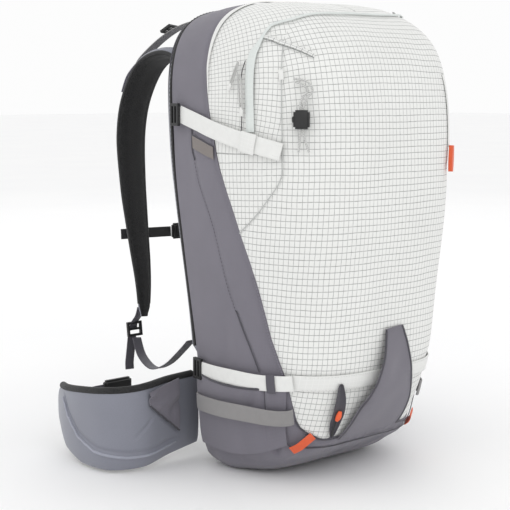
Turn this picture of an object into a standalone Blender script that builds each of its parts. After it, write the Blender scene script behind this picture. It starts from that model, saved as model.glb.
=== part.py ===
"""Ski backpack: white front shell, grey side panels and base, zipped back panel with harness, hip belt.

Metres, +Z up. The pack stands on its base at z = 0. The wearer's back is towards +Y and the front of
the pack faces -Y, so the wearer's left is -X.
"""
import math

import bmesh
import bpy
import numpy as np
from mathutils import Matrix, Vector

# Driving dimensions of the stuffed bag.
BAG_HEIGHT = 0.574
LOW_HALF_WIDTH = 0.128
HIGH_HALF_WIDTH = 0.150
LOW_DEPTH = 0.195
HIGH_DEPTH = 0.240
BACK_FOOT_Y = 0.070
BACK_LEAN = 0.067
LOW_CORNER_TOP = 0.14
ARCH_START = 0.40
SPINE_LOW = 0.16
SPINE_HIGH = 0.42
BULGE = 0.05
BASE_FLAT = 0.004
LOW_ROUND = 6.0
ARCH_ROUND = 3.8
DEPTH_ROUND = 4.0
FOOT_DEPTH_ROUND = 2.4
FOOT_LOW = 0.02
FOOT_HIGH = 0.18
LOW_TURN = 0.22
ARCH_TURN = 0.62

CLOTH = 0.0012
SEAM_GAP = 0.0015
WEBBING = 0.0014
PAD_BOTTOM = 0.142
PAD_THICK = 0.016

# Where the white shell meets the grey panels: how far round from the top, then how far forward.
WHITE_EDGE_ROUND = (0.0, 0.10, 0.127, 0.157, 0.19, 0.252, 0.288, 0.33, 0.358, 0.41, 0.522, 0.572, 0.62, 0.712, 0.778,
                    0.80, 0.852, 0.882, 0.915, 1.0)
WHITE_EDGE_FORWARD = (0.160, 0.185, 0.196, 0.190, 0.185, 0.181, 0.188, 0.200, 0.213, 0.232, 0.294, 0.325, 0.350, 0.388,
                      0.431, 0.452, 0.494, 0.560, 0.606, 0.620)
SIDE_END = 0.772
BASE_START = 0.780


def clear_scene():
    for item in list(bpy.data.objects):
        bpy.data.objects.remove(item, do_unlink=True)


def make_collection(name):
    group = bpy.data.collections.new(name)
    bpy.context.scene.collection.children.link(group)
    return group


clear_scene()
PARTS = make_collection("ski_backpack")


def material(name, colour, roughness=0.7, metallic=0.0):
    made = bpy.data.materials.new(name)
    made.use_nodes = True
    shader = made.node_tree.nodes["Principled BSDF"]
    shader.inputs["Base Color"].default_value = (*colour, 1.0)
    shader.inputs["Roughness"].default_value = roughness
    shader.inputs["Metallic"].default_value = metallic
    made.diffuse_color = (*colour, 1.0)
    return made


WHITE = (0.80, 0.81, 0.80)
GREY = (0.16, 0.155, 0.185)
PALE_GREY = (0.24, 0.25, 0.30)
WEB_GREY = (0.30, 0.29, 0.29)
BLACK = (0.02, 0.02, 0.022)
ORANGE = (0.85, 0.20, 0.07)
METAL = (0.7, 0.7, 0.72)


# ---------------------------------------------------------------- shape of the bag

def ease(t):
    t = min(max(t, 0.0), 1.0)
    return t * t * (3.0 - 2.0 * t)


def half_width(z):
    return LOW_HALF_WIDTH + (HIGH_HALF_WIDTH - LOW_HALF_WIDTH) * ease((z - 0.10) / 0.33)


def back_y(z):
    return BACK_FOOT_Y + BACK_LEAN * z


def depth(z):
    return LOW_DEPTH + (HIGH_DEPTH - LOW_DEPTH) * ease(z / 0.45)


def round_corner(angle, power):
    c = math.cos(angle)
    s = math.sin(angle)
    size = (abs(c) ** power + abs(s) ** power) ** (1.0 / power)
    return c / size, s / size


def rim(up):
    """Point on one half of the back rim: up is 0 at the bottom centre and 1 at the top centre."""
    if up < LOW_TURN:
        c, s = round_corner(up / LOW_TURN * math.pi / 2, LOW_ROUND)
        return half_width(LOW_CORNER_TOP) * s, LOW_CORNER_TOP * (1.0 - c)
    if up < ARCH_TURN:
        z = LOW_CORNER_TOP + (ARCH_START - LOW_CORNER_TOP) * (up - LOW_TURN) / (ARCH_TURN - LOW_TURN)
        return half_width(z), z
    c, s = round_corner((up - ARCH_TURN) / (1.0 - ARCH_TURN) * math.pi / 2, ARCH_ROUND)
    return half_width(ARCH_START) * c, ARCH_START + (BAG_HEIGHT - ARCH_START) * s


def depth_round(rim_z):
    """The foot of the bag is rounder from back to front than its body."""
    return FOOT_DEPTH_ROUND + (DEPTH_ROUND - FOOT_DEPTH_ROUND) * ease((rim_z - FOOT_LOW) / (FOOT_HIGH - FOOT_LOW))


def bag_point(turn, forward):
    """Point on the bag: turn is 0 at the top centre and -1 or 1 at the bottom, forward 0 at the back."""
    side = -1.0 if turn < 0 else 1.0
    x, z = rim(1.0 - min(abs(turn), 1.0))
    spine = min(max(z, SPINE_LOW), SPINE_HIGH)
    spread, reach = round_corner(min(max(forward, 0.0), 1.0) * math.pi / 2, depth_round(z))
    spread *= 1.0 + 4.0 * BULGE * reach * (1.0 - reach)
    high = max(spine + (z - spine) * spread - BASE_FLAT, 0.0)
    return Vector((side * x * spread, back_y(high) - depth(high) * reach, high))


def bag_normal(turn, forward):
    step = 0.004
    turn = min(max(turn, -1.0 + step), 1.0 - step)
    if abs(turn) < step:
        turn = step
    forward = min(max(forward, step), 1.0 - step)
    along = bag_point(turn + step, forward) - bag_point(turn - step, forward)
    across = bag_point(turn, forward + step) - bag_point(turn, forward - step)
    normal = along.cross(across).normalized()
    place = bag_point(turn, forward)
    middle = Vector((0.0, 0.0, min(max(place.z, SPINE_LOW), SPINE_HIGH)))
    return normal if normal.dot(place - middle) > 0 else -normal


def on_bag(turn, forward, lift):
    return bag_point(turn, forward) + bag_normal(turn, forward) * lift


def white_edge(turn):
    return float(np.interp(abs(turn), WHITE_EDGE_ROUND, WHITE_EDGE_FORWARD))


# ---------------------------------------------------------------- builders

def finish(name, mesh, slot):
    thing = bpy.data.objects.new(name, mesh)
    PARTS.objects.link(thing)
    mesh.materials.clear()
    mesh.materials.append(slot)
    return thing


def mesh_from(name, points, faces):
    mesh = bpy.data.meshes.new(name)
    mesh.from_pydata([tuple(p) for p in points], [], faces)
    mesh.validate()
    work = bmesh.new()
    work.from_mesh(mesh)
    bmesh.ops.remove_doubles(work, verts=work.verts, dist=0.00002)
    bmesh.ops.recalc_face_normals(work, faces=work.faces)
    work.to_mesh(mesh)
    work.free()
    return mesh


def closed_sheet(name, rows, normals, thick, slot):
    """A sheet of cloth: rows of points on its outer face, given thickness inwards along normals."""
    lines = len(rows)
    cols = len(rows[0])
    points = [p for row in rows for p in row]
    points += [p - n * thick for row, ways in zip(rows, normals) for p, n in zip(row, ways)]
    under = lines * cols

    def at(i, j):
        return i * cols + j

    faces = []
    for i in range(lines - 1):
        for j in range(cols - 1):
            quad = (at(i, j), at(i + 1, j), at(i + 1, j + 1), at(i, j + 1))
            faces.append(quad)
            faces.append(tuple(under + k for k in reversed(quad)))
    edge = [at(0, j) for j in range(cols)]
    edge += [at(i, cols - 1) for i in range(1, lines)]
    edge += [at(lines - 1, j) for j in range(cols - 2, -1, -1)]
    edge += [at(i, 0) for i in range(lines - 2, 0, -1)]
    for k, a in enumerate(edge):
        b = edge[(k + 1) % len(edge)]
        faces.append((a, b, under + b, under + a))
    return finish(name, mesh_from(name, points, faces), slot)


def bag_sheet(name, turns, span, lift, slot, across=8, thick=CLOTH):
    """A panel of the bag between two forward limits at each turn."""
    rows = []
    normals = []
    for turn in turns:
        start, end = span(turn)
        places = np.linspace(start, end, across)
        row = []
        for k, forward in enumerate(places):
            raised = lift(turn, k / (across - 1)) if callable(lift) else lift
            row.append(on_bag(turn, forward, raised))
        rows.append(row)
        normals.append([bag_normal(turn, forward) for forward in places])
    return closed_sheet(name, rows, normals, thick, slot)


def smooth_path(points, count):
    """Even samples along a smooth line through the points."""
    knots = [Vector(p) for p in points]
    fine = []
    for i in range(len(knots) - 1):
        a = knots[max(i - 1, 0)]
        b = knots[i]
        c = knots[i + 1]
        d = knots[min(i + 2, len(knots) - 1)]
        for k in range(12):
            t = k / 12.0
            fine.append(0.5 * (2 * b + (c - a) * t + (2 * a - 5 * b + 4 * c - d) * t * t
                               + (3 * b - a - 3 * c + d) * t * t * t))
    fine.append(knots[-1])
    lengths = [0.0]
    for a, b in zip(fine, fine[1:]):
        lengths.append(lengths[-1] + (b - a).length)
    places = np.linspace(0.0, lengths[-1], count)
    return [Vector([float(np.interp(s, lengths, [p[k] for p in fine])) for k in range(3)]) for s in places]


def tangents(path):
    ways = []
    for i in range(len(path)):
        ways.append((path[min(i + 1, len(path) - 1)] - path[max(i - 1, 0)]).normalized())
    return ways


def flat_strap(name, points, wide_way, width, slot, count=14, thick=WEBBING):
    """Webbing along a path, its width along wide_way."""
    path = smooth_path(points, count)
    rows = []
    normals = []
    for place, way in zip(path, tangents(path)):
        side = (Vector(wide_way) - way * way.dot(Vector(wide_way))).normalized()
        out = way.cross(side).normalized()
        rows.append([place - side * width / 2 + out * thick / 2, place + side * width / 2 + out * thick / 2])
        normals.append([out, out])
    return closed_sheet(name, rows, normals, thick, slot)


def bag_strap(name, route, width, lift, slot, count=14, thick=WEBBING):
    """Webbing that follows the bag: route gives (turn, forward) knots, lift its height off the cloth."""
    knots = smooth_path([(turn, forward, 0.0) for turn, forward in route], count)
    centres = [bag_point(k.x, k.y) for k in knots]
    rows = []
    normals = []
    for i, (knot, way) in enumerate(zip(knots, tangents(centres))):
        out = bag_normal(knot.x, knot.y)
        side = out.cross(way).normalized()
        raised = lift(i / (count - 1)) if callable(lift) else lift
        place = centres[i] + out * (raised + thick)
        wide = width(i / (count - 1)) if callable(width) else width
        rows.append([place - side * wide / 2, place, place + side * wide / 2])
        normals.append([out] * 3)
    return closed_sheet(name, rows, normals, thick, slot)


def loft(name, rings, slot):
    """A closed body through rings of points, its ends capped."""
    size = len(rings[0])
    points = [p for ring in rings for p in ring]
    faces = []
    for i in range(len(rings) - 1):
        for j in range(size):
            k = (j + 1) % size
            faces.append((i * size + j, i * size + k, (i + 1) * size + k, (i + 1) * size + j))
    faces.append(tuple(reversed(range(size))))
    faces.append(tuple(range((len(rings) - 1) * size, len(rings) * size)))
    return finish(name, mesh_from(name, points, faces), slot)


def pad_along(name, points, wide_way, widths, thicks, slot, count=14, sides=12, power=3.0):
    """A padded strap: a rounded flat section swept along a path."""
    path = smooth_path(points, count)
    rings = []
    for i, (place, way) in enumerate(zip(path, tangents(path))):
        t = i / (count - 1)
        side = (Vector(wide_way) - way * way.dot(Vector(wide_way))).normalized()
        out = way.cross(side).normalized()
        wide = float(np.interp(t, np.linspace(0, 1, len(widths)), widths)) / 2
        deep = float(np.interp(t, np.linspace(0, 1, len(thicks)), thicks)) / 2
        ring = []
        for k in range(sides):
            angle = 2 * math.pi * k / sides
            c, s = round_corner(angle, power)
            ring.append(place + side * wide * c + out * deep * s)
        rings.append(ring)
    return loft(name, rings, slot)


def tube(name, points, radius, slot, count=24, sides=8, smooth=True):
    path = smooth_path(points, count) if smooth else [Vector(p) for p in points]
    rings = []
    side = None
    for place, way in zip(path, tangents(path)):
        guess = side if side is not None else Vector((0.31, 0.27, 0.91))
        side = (guess - way * way.dot(guess)).normalized()
        out = way.cross(side)
        rings.append([place + (side * math.cos(a) + out * math.sin(a)) * radius
                      for a in (2 * math.pi * k / sides for k in range(sides))])
    return loft(name, rings, slot)


def block(name, size, place, slot, turn=None, bevel=0.0):
    work = bmesh.new()
    bmesh.ops.create_cube(work, size=1.0, matrix=Matrix.Diagonal((*size, 1.0)))
    if bevel:
        bmesh.ops.bevel(work, geom=work.edges[:], offset=bevel, segments=2, affect="EDGES")
    spin = turn if turn is not None else Matrix.Identity(4)
    work.transform(Matrix.Translation(place) @ spin)
    mesh = bpy.data.meshes.new(name)
    work.to_mesh(mesh)
    work.free()
    return finish(name, mesh, slot)


def ladder_lock(name, place, along, out, slot, width=0.024, length=0.022, thick=0.0035):
    """A flat buckle with two slots: along is the webbing's way, out its outer face."""
    along = Vector(along).normalized()
    out = Vector(out)
    out = (out - along * along.dot(out)).normalized()
    side = along.cross(out)
    bar = 0.0034
    xs = (-width / 2, -width / 2 + bar, width / 2 - bar, width / 2)
    ys = (-length / 2, -length / 2 + bar, -bar / 2, bar / 2, length / 2 - bar, length / 2)
    cells = [(i, j) for i in range(3) for j in range(5) if not (i == 1 and j in (1, 3))]
    work = bmesh.new()
    grid = {}
    for i, x in enumerate(xs):
        for j, y in enumerate(ys):
            grid[i, j] = work.verts.new(Vector(place) + side * x + along * y - out * thick / 2)
    faces = [work.faces.new((grid[i, j], grid[i + 1, j], grid[i + 1, j + 1], grid[i, j + 1])) for i, j in cells]
    raised = bmesh.ops.extrude_face_region(work, geom=faces)
    top = [g for g in raised["geom"] if isinstance(g, bmesh.types.BMVert)]
    bmesh.ops.translate(work, vec=out * thick, verts=top)
    bmesh.ops.recalc_face_normals(work, faces=work.faces)
    mesh = bpy.data.meshes.new(name)
    work.to_mesh(mesh)
    work.free()
    return finish(name, mesh, slot)


def name_side(side):
    return "left" if side < 0 else "right"


def mirrored(points, side):
    """Points are written for the wearer's left, where X is negative."""
    return [(-side * x, y, z) for x, y, z in points]


# ---------------------------------------------------------------- bag

def front_panel():
    turns = np.linspace(-1.0, 1.0, 49)
    edge = 0.992

    def span(turn):
        return white_edge(turn) + SEAM_GAP * 4, 0.975

    rows = []
    normals = []
    for turn in turns * edge:
        start, end = span(turn)
        places = np.linspace(start, end, 10)
        rows.append([on_bag(turn, f, 0.0) for f in places])
        normals.append([bag_normal(turn, f) for f in places])
    return front_shell("front_panel", rows, normals)


def front_shell(name, rows, normals):
    """The white shell is a ring of rows round the front, closed at the bottom and over the middle."""
    lines = len(rows)
    cols = len(rows[0])
    outer = [p for row in rows for p in row]
    inner = [p - n * CLOTH for row, ways in zip(rows, normals) for p, n in zip(row, ways)]
    size = lines * cols
    faces = []

    def at(i, j):
        return (i % lines) * cols + j

    for i in range(lines):
        for j in range(cols - 1):
            quad = (at(i, j), at(i + 1, j), at(i + 1, j + 1), at(i, j + 1))
            faces.append(quad)
            faces.append(tuple(size + k for k in reversed(quad)))
        faces.append((at(i + 1, 0), at(i, 0), size + at(i, 0), size + at(i + 1, 0)))
    half = lines // 2
    for shift in (0, size):
        for i in range(half - 1):
            a = shift + at(i, cols - 1)
            b = shift + at(i + 1, cols - 1)
            c = shift + at(lines - 2 - i, cols - 1)
            d = shift + at(lines - 1 - i, cols - 1)
            faces.append((a, b, c, d))
        tip = (shift + at(half - 1, cols - 1), shift + at(half, cols - 1), shift + at(half + 1, cols - 1))
        faces.append(tip)
    return finish(name, mesh_from(name, outer + inner, faces), material(name, WHITE))


def side_panel(side):
    name = "side_panel_" + name_side(side)
    turns = side * np.linspace(0.004, SIDE_END, 28)
    return bag_sheet(name, turns, lambda turn: (0.0, white_edge(turn) - SEAM_GAP * 4), 0.0,
                     material(name, GREY), across=5)


def base_panel():
    """The grey base wraps from one side under the pack to the other."""
    half = np.linspace(BASE_START, 0.999, 15)
    turns = list(-half) + list(half[::-1])
    return bag_sheet("base_panel", turns, lambda turn: (0.0, white_edge(turn) - SEAM_GAP * 4), 0.0,
                     material("base_panel", GREY), across=9)


POCKET_TOP = 0.800
POCKET_FOOT = 0.885
POCKET_BACK = 0.05
POCKET_FRONT = 0.42
POCKET_EDGE_LIFT = 0.0022
POCKET_MOUTH_LIFT = 0.0125


def side_pocket(side):
    name = "side_pocket_" + name_side(side)

    def lift(turn, across):
        open_part = 1.0 - ease((abs(turn) - POCKET_TOP) / (POCKET_FOOT - POCKET_TOP))
        belly = math.sin(math.pi * across) ** 0.6 if 0.0 < across < 1.0 else 0.0
        return POCKET_EDGE_LIFT + (POCKET_MOUTH_LIFT - POCKET_EDGE_LIFT) * open_part * belly

    turns = side * np.linspace(POCKET_TOP, POCKET_FOOT, 8)
    return bag_sheet(name, turns, lambda turn: (POCKET_BACK, POCKET_FRONT), lift, material(name, GREY),
                     across=11, thick=0.001)


LOOP_Z = (0.187, 0.168, 0.150, 0.128, 0.113, 0.100, 0.082, 0.062)
LOOP_LEFT = (-0.012, -0.0165, -0.022, -0.031, -0.038, -0.047, -0.052, -0.056)
LOOP_RIGHT = (0.020, 0.028, 0.034, 0.041, 0.048, 0.050, 0.051, 0.050)
LOOP_LIFT = (0.0014, 0.0070, 0.0100, 0.0120, 0.0120, 0.0105, 0.0070, 0.0022)


def carry_loop():
    """The big grey sleeve on the front: sewn down at both ends, it holds the tail of a ski."""
    rows = []
    normals = []
    spots = np.linspace(0.0, 1.0, len(LOOP_Z))
    for t in np.linspace(0.0, 1.0, 15):
        z = float(np.interp(t, spots, LOOP_Z))
        left = float(np.interp(t, spots, LOOP_LEFT))
        right = float(np.interp(t, spots, LOOP_RIGHT))
        raised = float(np.interp(t, spots, LOOP_LIFT))
        row = []
        ways = []
        for x in np.linspace(left, right, 5):
            place, out = front_point(x, z)
            row.append(place + out * (raised + CLOTH))
            ways.append(out)
        rows.append(row)
        normals.append(ways)
    return closed_sheet("carry_loop_front", rows, normals, CLOTH, material("carry_loop_front", GREY))


def front_point(x, z):
    """Point and outward way on the front of the bag."""
    step = 0.003
    dx = front_y(x + step, z) - front_y(x - step, z)
    dz = front_y(x, z + step) - front_y(x, z - step)
    out = Vector((dx / (2 * step), -1.0, dz / (2 * step))).normalized()
    return Vector((x, front_y(x, z), z)), out


def front_y(x, z):
    """How far forward the bag's front lies at this width and height, found by halving."""
    low = -0.20
    high = 0.0
    for _ in range(30):
        mid = (low + high) / 2
        if inside_bag(Vector((x, mid, z))):
            high = mid
        else:
            low = mid
    return (low + high) / 2


def inside_bag(place):
    """True when a point lies in the bag's front half."""
    z = place.z + BASE_FLAT
    reach = (back_y(place.z) - place.y) / depth(place.z)
    if reach <= 0.0 or reach >= 1.0:
        return False
    spine = min(max(z, SPINE_LOW), SPINE_HIGH)
    rim_z = z
    for _ in range(8):
        power = depth_round(rim_z)
        spread = (1.0 - reach ** power) ** (1.0 / power)
        spread *= 1.0 + 4.0 * BULGE * reach * (1.0 - reach)
        rim_z = max(spine + (z - spine) / spread, 0.0)
    if rim_z <= 0.0 or rim_z >= BAG_HEIGHT:
        return False
    return abs(place.x) / spread < rim_half_width(rim_z)


def rim_half_width(z):
    if z < LOW_CORNER_TOP:
        drop = (LOW_CORNER_TOP - z) / LOW_CORNER_TOP
        return half_width(LOW_CORNER_TOP) * (1.0 - drop ** LOW_ROUND) ** (1.0 / LOW_ROUND)
    if z < ARCH_START:
        return half_width(z)
    rise = (z - ARCH_START) / (BAG_HEIGHT - ARCH_START)
    return half_width(ARCH_START) * (1.0 - rise ** ARCH_ROUND) ** (1.0 / ARCH_ROUND)


def ski_band(side):
    """Grey webbing that stands off the side pocket, for the edge of a ski."""
    name = "ski_band_" + name_side(side)
    route = [(side * 0.828, 0.02), (side * 0.826, 0.18), (side * 0.827, 0.33), (side * 0.836, 0.485)]
    return bag_strap(name, route, 0.020, lambda t: 0.0022 + 0.0215 * math.sin(math.pi * t) ** 0.7,
                     material(name, WEB_GREY), count=17)


def lower_strap(side):
    name = "lower_strap_" + name_side(side)
    route = [(side * 0.786, 0.075), (side * 0.784, 0.25), (side * 0.789, 0.466)]
    return bag_strap(name, route, 0.013, 0.0016, material(name, WHITE))


def upper_strap(side):
    name = "upper_strap_" + name_side(side)
    route = [(side * 0.324, 0.09), (side * 0.340, 0.225), (side * 0.355, 0.335), (side * 0.374, 0.448)]
    return bag_strap(name, route, 0.020, 0.0016, material(name, WHITE))


def side_buckle(name, turn, forward, ahead):
    place = on_bag(turn, forward, 0.0050)
    along = on_bag(turn, ahead, 0.0050) - place
    return ladder_lock(name, place, along, bag_normal(turn, forward), material(name, BLACK, 0.35),
                       width=0.027, length=0.016)


def front_band():
    """Smooth white band sewn across the front between the two lower straps."""
    rows = []
    normals = []
    for x in np.linspace(-0.098, 0.098, 19):
        row = []
        ways = []
        for z in (0.121, 0.139):
            place, out = front_point(x, z)
            row.append(place + out * 0.0011)
            ways.append(out)
        rows.append(row)
        normals.append(ways)
    return closed_sheet("front_band", rows, normals, 0.0007, material("front_band", WHITE, 0.5))


KEEPER_X = (-0.0735, -0.0700, -0.0685, -0.0690, -0.0680)


def tool_sleeve():
    """Dark leaf-shaped keeper on the front, with a toggle through it."""
    rows = []
    normals = []
    for t in np.linspace(0.0, 1.0, 11):
        x = float(np.interp(t, np.linspace(0.0, 1.0, len(KEEPER_X)), KEEPER_X))
        z = 0.128 - 0.068 * t
        wide = 0.0045 + 0.0085 * math.sin(math.pi * min(t * 1.1, 1.0)) ** 0.8
        row = []
        ways = []
        for s in (-0.5, 0.0, 0.5):
            place, out = front_point(x + s * wide, z)
            row.append(place + out * 0.0030)
            ways.append(out)
        rows.append(row)
        normals.append(ways)
    return closed_sheet("tool_sleeve", rows, normals, 0.0012, material("tool_sleeve", BLACK))


def tool_toggle():
    place, out = front_point(-0.0690, 0.091)
    spin = Matrix.Rotation(math.atan2(out.x, -out.y), 4, "Z")
    return block("tool_toggle", (0.007, 0.0050, 0.013), place + out * 0.0074,
                 material("tool_toggle", ORANGE, 0.4), spin, 0.0015)


def base_tab(side):
    """Orange pull tab at the lower front corner."""
    name = "base_tab_" + name_side(side)
    route = [(side * 0.880, 0.458), (side * 0.879, 0.500), (side * 0.878, 0.542)]
    return bag_strap(name, route, 0.011, lambda t: 0.0018 + 0.0040 * math.sin(math.pi * t),
                     material(name, ORANGE), count=8)


TOP_ZIP = [(-0.300, 0.354), (-0.257, 0.354), (-0.223, 0.367), (-0.190, 0.382), (-0.157, 0.429), (-0.10, 0.458),
           (-0.05, 0.462), (0.0, 0.462), (0.05, 0.460), (0.10, 0.445), (0.14, 0.400), (0.165, 0.360)]


def top_zip():
    """Closed zip over the top of the bag, under a rain flap."""
    return bag_strap("top_zip", TOP_ZIP, 0.012, 0.0010, material("top_zip", WHITE, 0.5), count=25, thick=0.0014)


def zip_pull_left():
    top = on_bag(-0.266, 0.328, 0.0060)
    foot = on_bag(-0.320, 0.334, 0.0060)
    return tube("zip_pull_left", [top, foot], 0.0018, material("zip_pull_left", WHITE), smooth=False)


def zip_pull_right():
    top = on_bag(0.150, 0.330, 0.0055)
    foot = on_bag(0.190, 0.335, 0.0060)
    return tube("zip_pull_right", [top, foot], 0.0018, material("zip_pull_right", WHITE), smooth=False)


def side_zip_pull():
    """Orange pull of the side zip on the wearer's right."""
    top = on_bag(0.372, 0.602, 0.0055)
    foot = on_bag(0.420, 0.606, 0.0060)
    return flat_strap("side_zip_pull", [top, (top + foot) / 2, foot], (0.6, 0.8, 0.0), 0.009,
                      material("side_zip_pull", ORANGE, 0.5), count=5, thick=0.003)


def back_zip():
    """Coil of the zip that lets the whole back panel open."""
    points = []
    for turn in np.linspace(-0.752, 0.752, 41):
        spot = bag_point(turn, 0.0)
        points.append(Vector((spot.x * 0.985, spot.y + 0.0030, spot.z - 0.002)))
    return tube("back_zip", points, 0.0020, material("back_zip", BLACK, 0.4), smooth=False, sides=6)


# ---------------------------------------------------------------- cord and lock

CORD_RADIUS = 0.0013
LOCK_Z = 0.436
LOCK_X = -0.1265
LOCK_LIFT = 0.0078
CORD_SPREAD = 0.0018
BORE_FLOOR = 0.0046
LOCK_SIZE = (0.0180, 0.0112, 0.0210)
LOCK_REACH = 0.0142
BUTTON_STROKE = 0.0012


def cord_route(step):
    """From the tab's eye, out in a small bow, down through the lock to a free tail."""
    shift = 0.0012 * step
    above = [(-0.1290, 0.4790 + shift * 1.7, 0.0040), (-0.1225 + shift * 1.4, 0.4760 + shift * 1.4, 0.0052),
             (-0.1190 + shift * 1.4, 0.4680, 0.0062 + 0.0012 * step), (-0.1232 + shift * 1.4, 0.4600, 0.0072)]
    below = [(-0.1262 + shift * 2, 0.4080, 0.0060), (-0.1258 + shift * 3, 0.4000, 0.0045)]
    centre, side, out, up = lock_frame()
    through = [centre - side * CORD_SPREAD * step + up * rise for rise in (LOCK_REACH, 0.0, -LOCK_REACH)]

    def raised(spots):
        return [front_point(x, z)[0] + front_point(x, z)[1] * lift for x, z, lift in spots]

    return raised(above) + through + raised(below)


def tool_cord(letter, step):
    name = "tool_cord_" + letter
    return tube(name, cord_route(step), CORD_RADIUS, material(name, WHITE), count=28)


def lock_frame():
    """The lock's middle, and its ways across, out of the bag and up along it."""
    place, out = front_point(LOCK_X, LOCK_Z)
    side = out.cross(Vector((0, 0, 1))).normalized()
    return place + out * LOCK_LIFT, side, out, side.cross(out).normalized()


def cord_lock_body():
    """Barrel with two through holes for the cord and a bore for the button above them."""
    centre, side, out, up = lock_frame()
    spin = Matrix((side, out, up)).transposed().to_4x4()
    barrel = block("cord_lock_body", LOCK_SIZE, (0, 0, 0), material("cord_lock_body", BLACK, 0.4),
                   None, 0.0022)
    hole = block("cut_cord", (0.0082, 0.0044, 0.03), (0, 0, 0), material("cut", BLACK))
    bore = tube("cut_bore", [(BORE_FLOOR, 0, 0), (LOCK_SIZE[0], 0, 0)], 0.0040, hole.data.materials[0], smooth=False, sides=24)
    for cutter in (hole, bore):
        cut = barrel.modifiers.new(cutter.name, "BOOLEAN")
        cut.object = cutter
        cut.operation = "DIFFERENCE"
        cut.solver = "EXACT"
    bpy.context.view_layer.update()
    seen = bpy.context.evaluated_depsgraph_get()
    mesh = bpy.data.meshes.new_from_object(barrel.evaluated_get(seen))
    barrel.modifiers.clear()
    for cutter in (hole, bore):
        bpy.data.objects.remove(cutter, do_unlink=True)
    mesh.transform(Matrix.Translation(centre) @ spin)
    barrel.data = mesh
    return barrel


def cord_lock_button():
    centre, side, out, up = lock_frame()
    start = centre + side * (BORE_FLOOR + BUTTON_STROKE + 0.0003)
    return tube("cord_lock_button", [start, start + side * 0.0046], 0.0036,
                material("cord_lock_button", BLACK, 0.4), smooth=False, sides=16)


# ---------------------------------------------------------------- back panel and harness

def panel_outline(inset, low, count=36):
    """Outline in X and Z of a board inside the back rim, flat along its low edge."""
    half = []
    for turn in np.linspace(0.0, 1.0, 90):
        x, z = rim(1.0 - turn)
        middle = (BAG_HEIGHT + low) / 2
        x = max(x - inset, 0.0)
        z = z - inset if z > middle else z
        if z < low:
            break
        half.append((x, z))
    last = half[-1][0]
    half += [(last, low), (0.0, low)]
    lengths = [0.0]
    for a, b in zip(half, half[1:]):
        lengths.append(lengths[-1] + math.hypot(b[0] - a[0], b[1] - a[1]))
    spots = np.linspace(0.0, lengths[-1], count)
    right = [(float(np.interp(s, lengths, [p[0] for p in half])), float(np.interp(s, lengths, [p[1] for p in half])))
             for s in spots]
    return right + [(-x, z) for x, z in right[-2:0:-1]]


def board(name, inset, low, near, far, slot, edge=0.0):
    """A board in the back plane, from near to far behind the back rim, its far edge eased."""
    steps = [(near, 0.0), (far - edge, 0.0), (far, edge)] if edge else [(near, 0.0), (far, 0.0)]
    rings = []
    middle = (BAG_HEIGHT + low) / 2
    for out, drawn in steps:
        ring = []
        for x, z in panel_outline(inset, low):
            x -= math.copysign(min(abs(x), drawn), x) if x else 0.0
            z += drawn * (middle - z) / (middle - low)
            ring.append(Vector((x, back_y(z) + out, z)))
        rings.append(ring)
    return loft(name, rings, slot)


def back_pad():
    return board("back_pad", 0.006, PAD_BOTTOM, 0.0060, 0.0060 + PAD_THICK, material("back_pad", PALE_GREY), 0.006)


def frame_sheet():
    return board("frame_sheet", 0.014, PAD_BOTTOM + 0.008, 0.0032, 0.0052, material("frame_sheet", BLACK, 0.5))


def frame_rod():
    """Bent aluminium rod that stiffens the panel."""
    half = [(-0.075, 0.165), (-0.085, 0.25), (-0.095, 0.36), (-0.088, 0.46), (-0.050, 0.515), (0.0, 0.528)]
    points = half + [(-x, z) for x, z in half[-2::-1]]
    path = [(x, back_y(z) - 0.0004, z) for x, z in points]
    return tube("frame_rod", path, 0.0024, material("frame_rod", METAL, 0.3, 1.0), count=41)


PAD_ROUTE = [(-0.052, 0.134, 0.476), (-0.056, 0.158, 0.500), (-0.062, 0.196, 0.518), (-0.068, 0.240, 0.505),
             (-0.074, 0.268, 0.462), (-0.079, 0.276, 0.410), (-0.083, 0.268, 0.345), (-0.087, 0.254, 0.285),
             (-0.092, 0.236, 0.215), (-0.096, 0.229, 0.166)]
PAD_YAW = 0.22


def shoulder_pad(side):
    name = "shoulder_pad_" + name_side(side)
    return pad_along(name, mirrored(PAD_ROUTE, side), (1, -side * PAD_YAW, 0), (0.058, 0.060, 0.056, 0.052, 0.044, 0.032, 0.016),
                     (0.010, 0.014, 0.014, 0.014, 0.013, 0.011, 0.008), material(name, BLACK), count=18)


def lifter_strap(side):
    """Load lifter from the shoulder pad up to the top of the back panel."""
    name = "lifter_strap_" + name_side(side)
    route = [(-0.071, 0.272, 0.496), (-0.068, 0.260, 0.513), (-0.062, 0.228, 0.536), (-0.055, 0.198, 0.551),
             (-0.049, 0.168, 0.558), (-0.046, 0.136, 0.555)]
    return flat_strap(name, mirrored(route, side), (1, 0, 0), 0.015, material(name, WEB_GREY))


def lifter_buckle(side):
    name = "lifter_buckle_" + name_side(side)
    route = [(-0.0620, 0.2301, 0.5400), (-0.0585, 0.2151, 0.5485)]
    ends = [Vector(p) for p in mirrored(route, side)]
    return ladder_lock(name, ends[1], ends[1] - ends[0], (0, 0.49, 0.87), material(name, BLACK, 0.35), 0.021, 0.018)


def haul_loop():
    """Webbing handle sewn to the top of the back panel."""
    half = [(-0.032, 0.1340, 0.545), (-0.034, 0.143, 0.557), (-0.026, 0.150, 0.567), (0.0, 0.153, 0.571)]
    points = half + [(-x, y, z) for x, y, z in half[-2::-1]]
    return tube("haul_loop", points, 0.0042, material("haul_loop", GREY), count=25, sides=8)


def pad_buckle(side):
    name = "pad_buckle_" + name_side(side)
    place = mirrored([(-0.099, 0.2470, 0.147)], side)[0]
    return ladder_lock(name, place, (0, 0.12, 1), (0, 1, -0.1), material(name, BLACK, 0.35), 0.024, 0.020)


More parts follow.
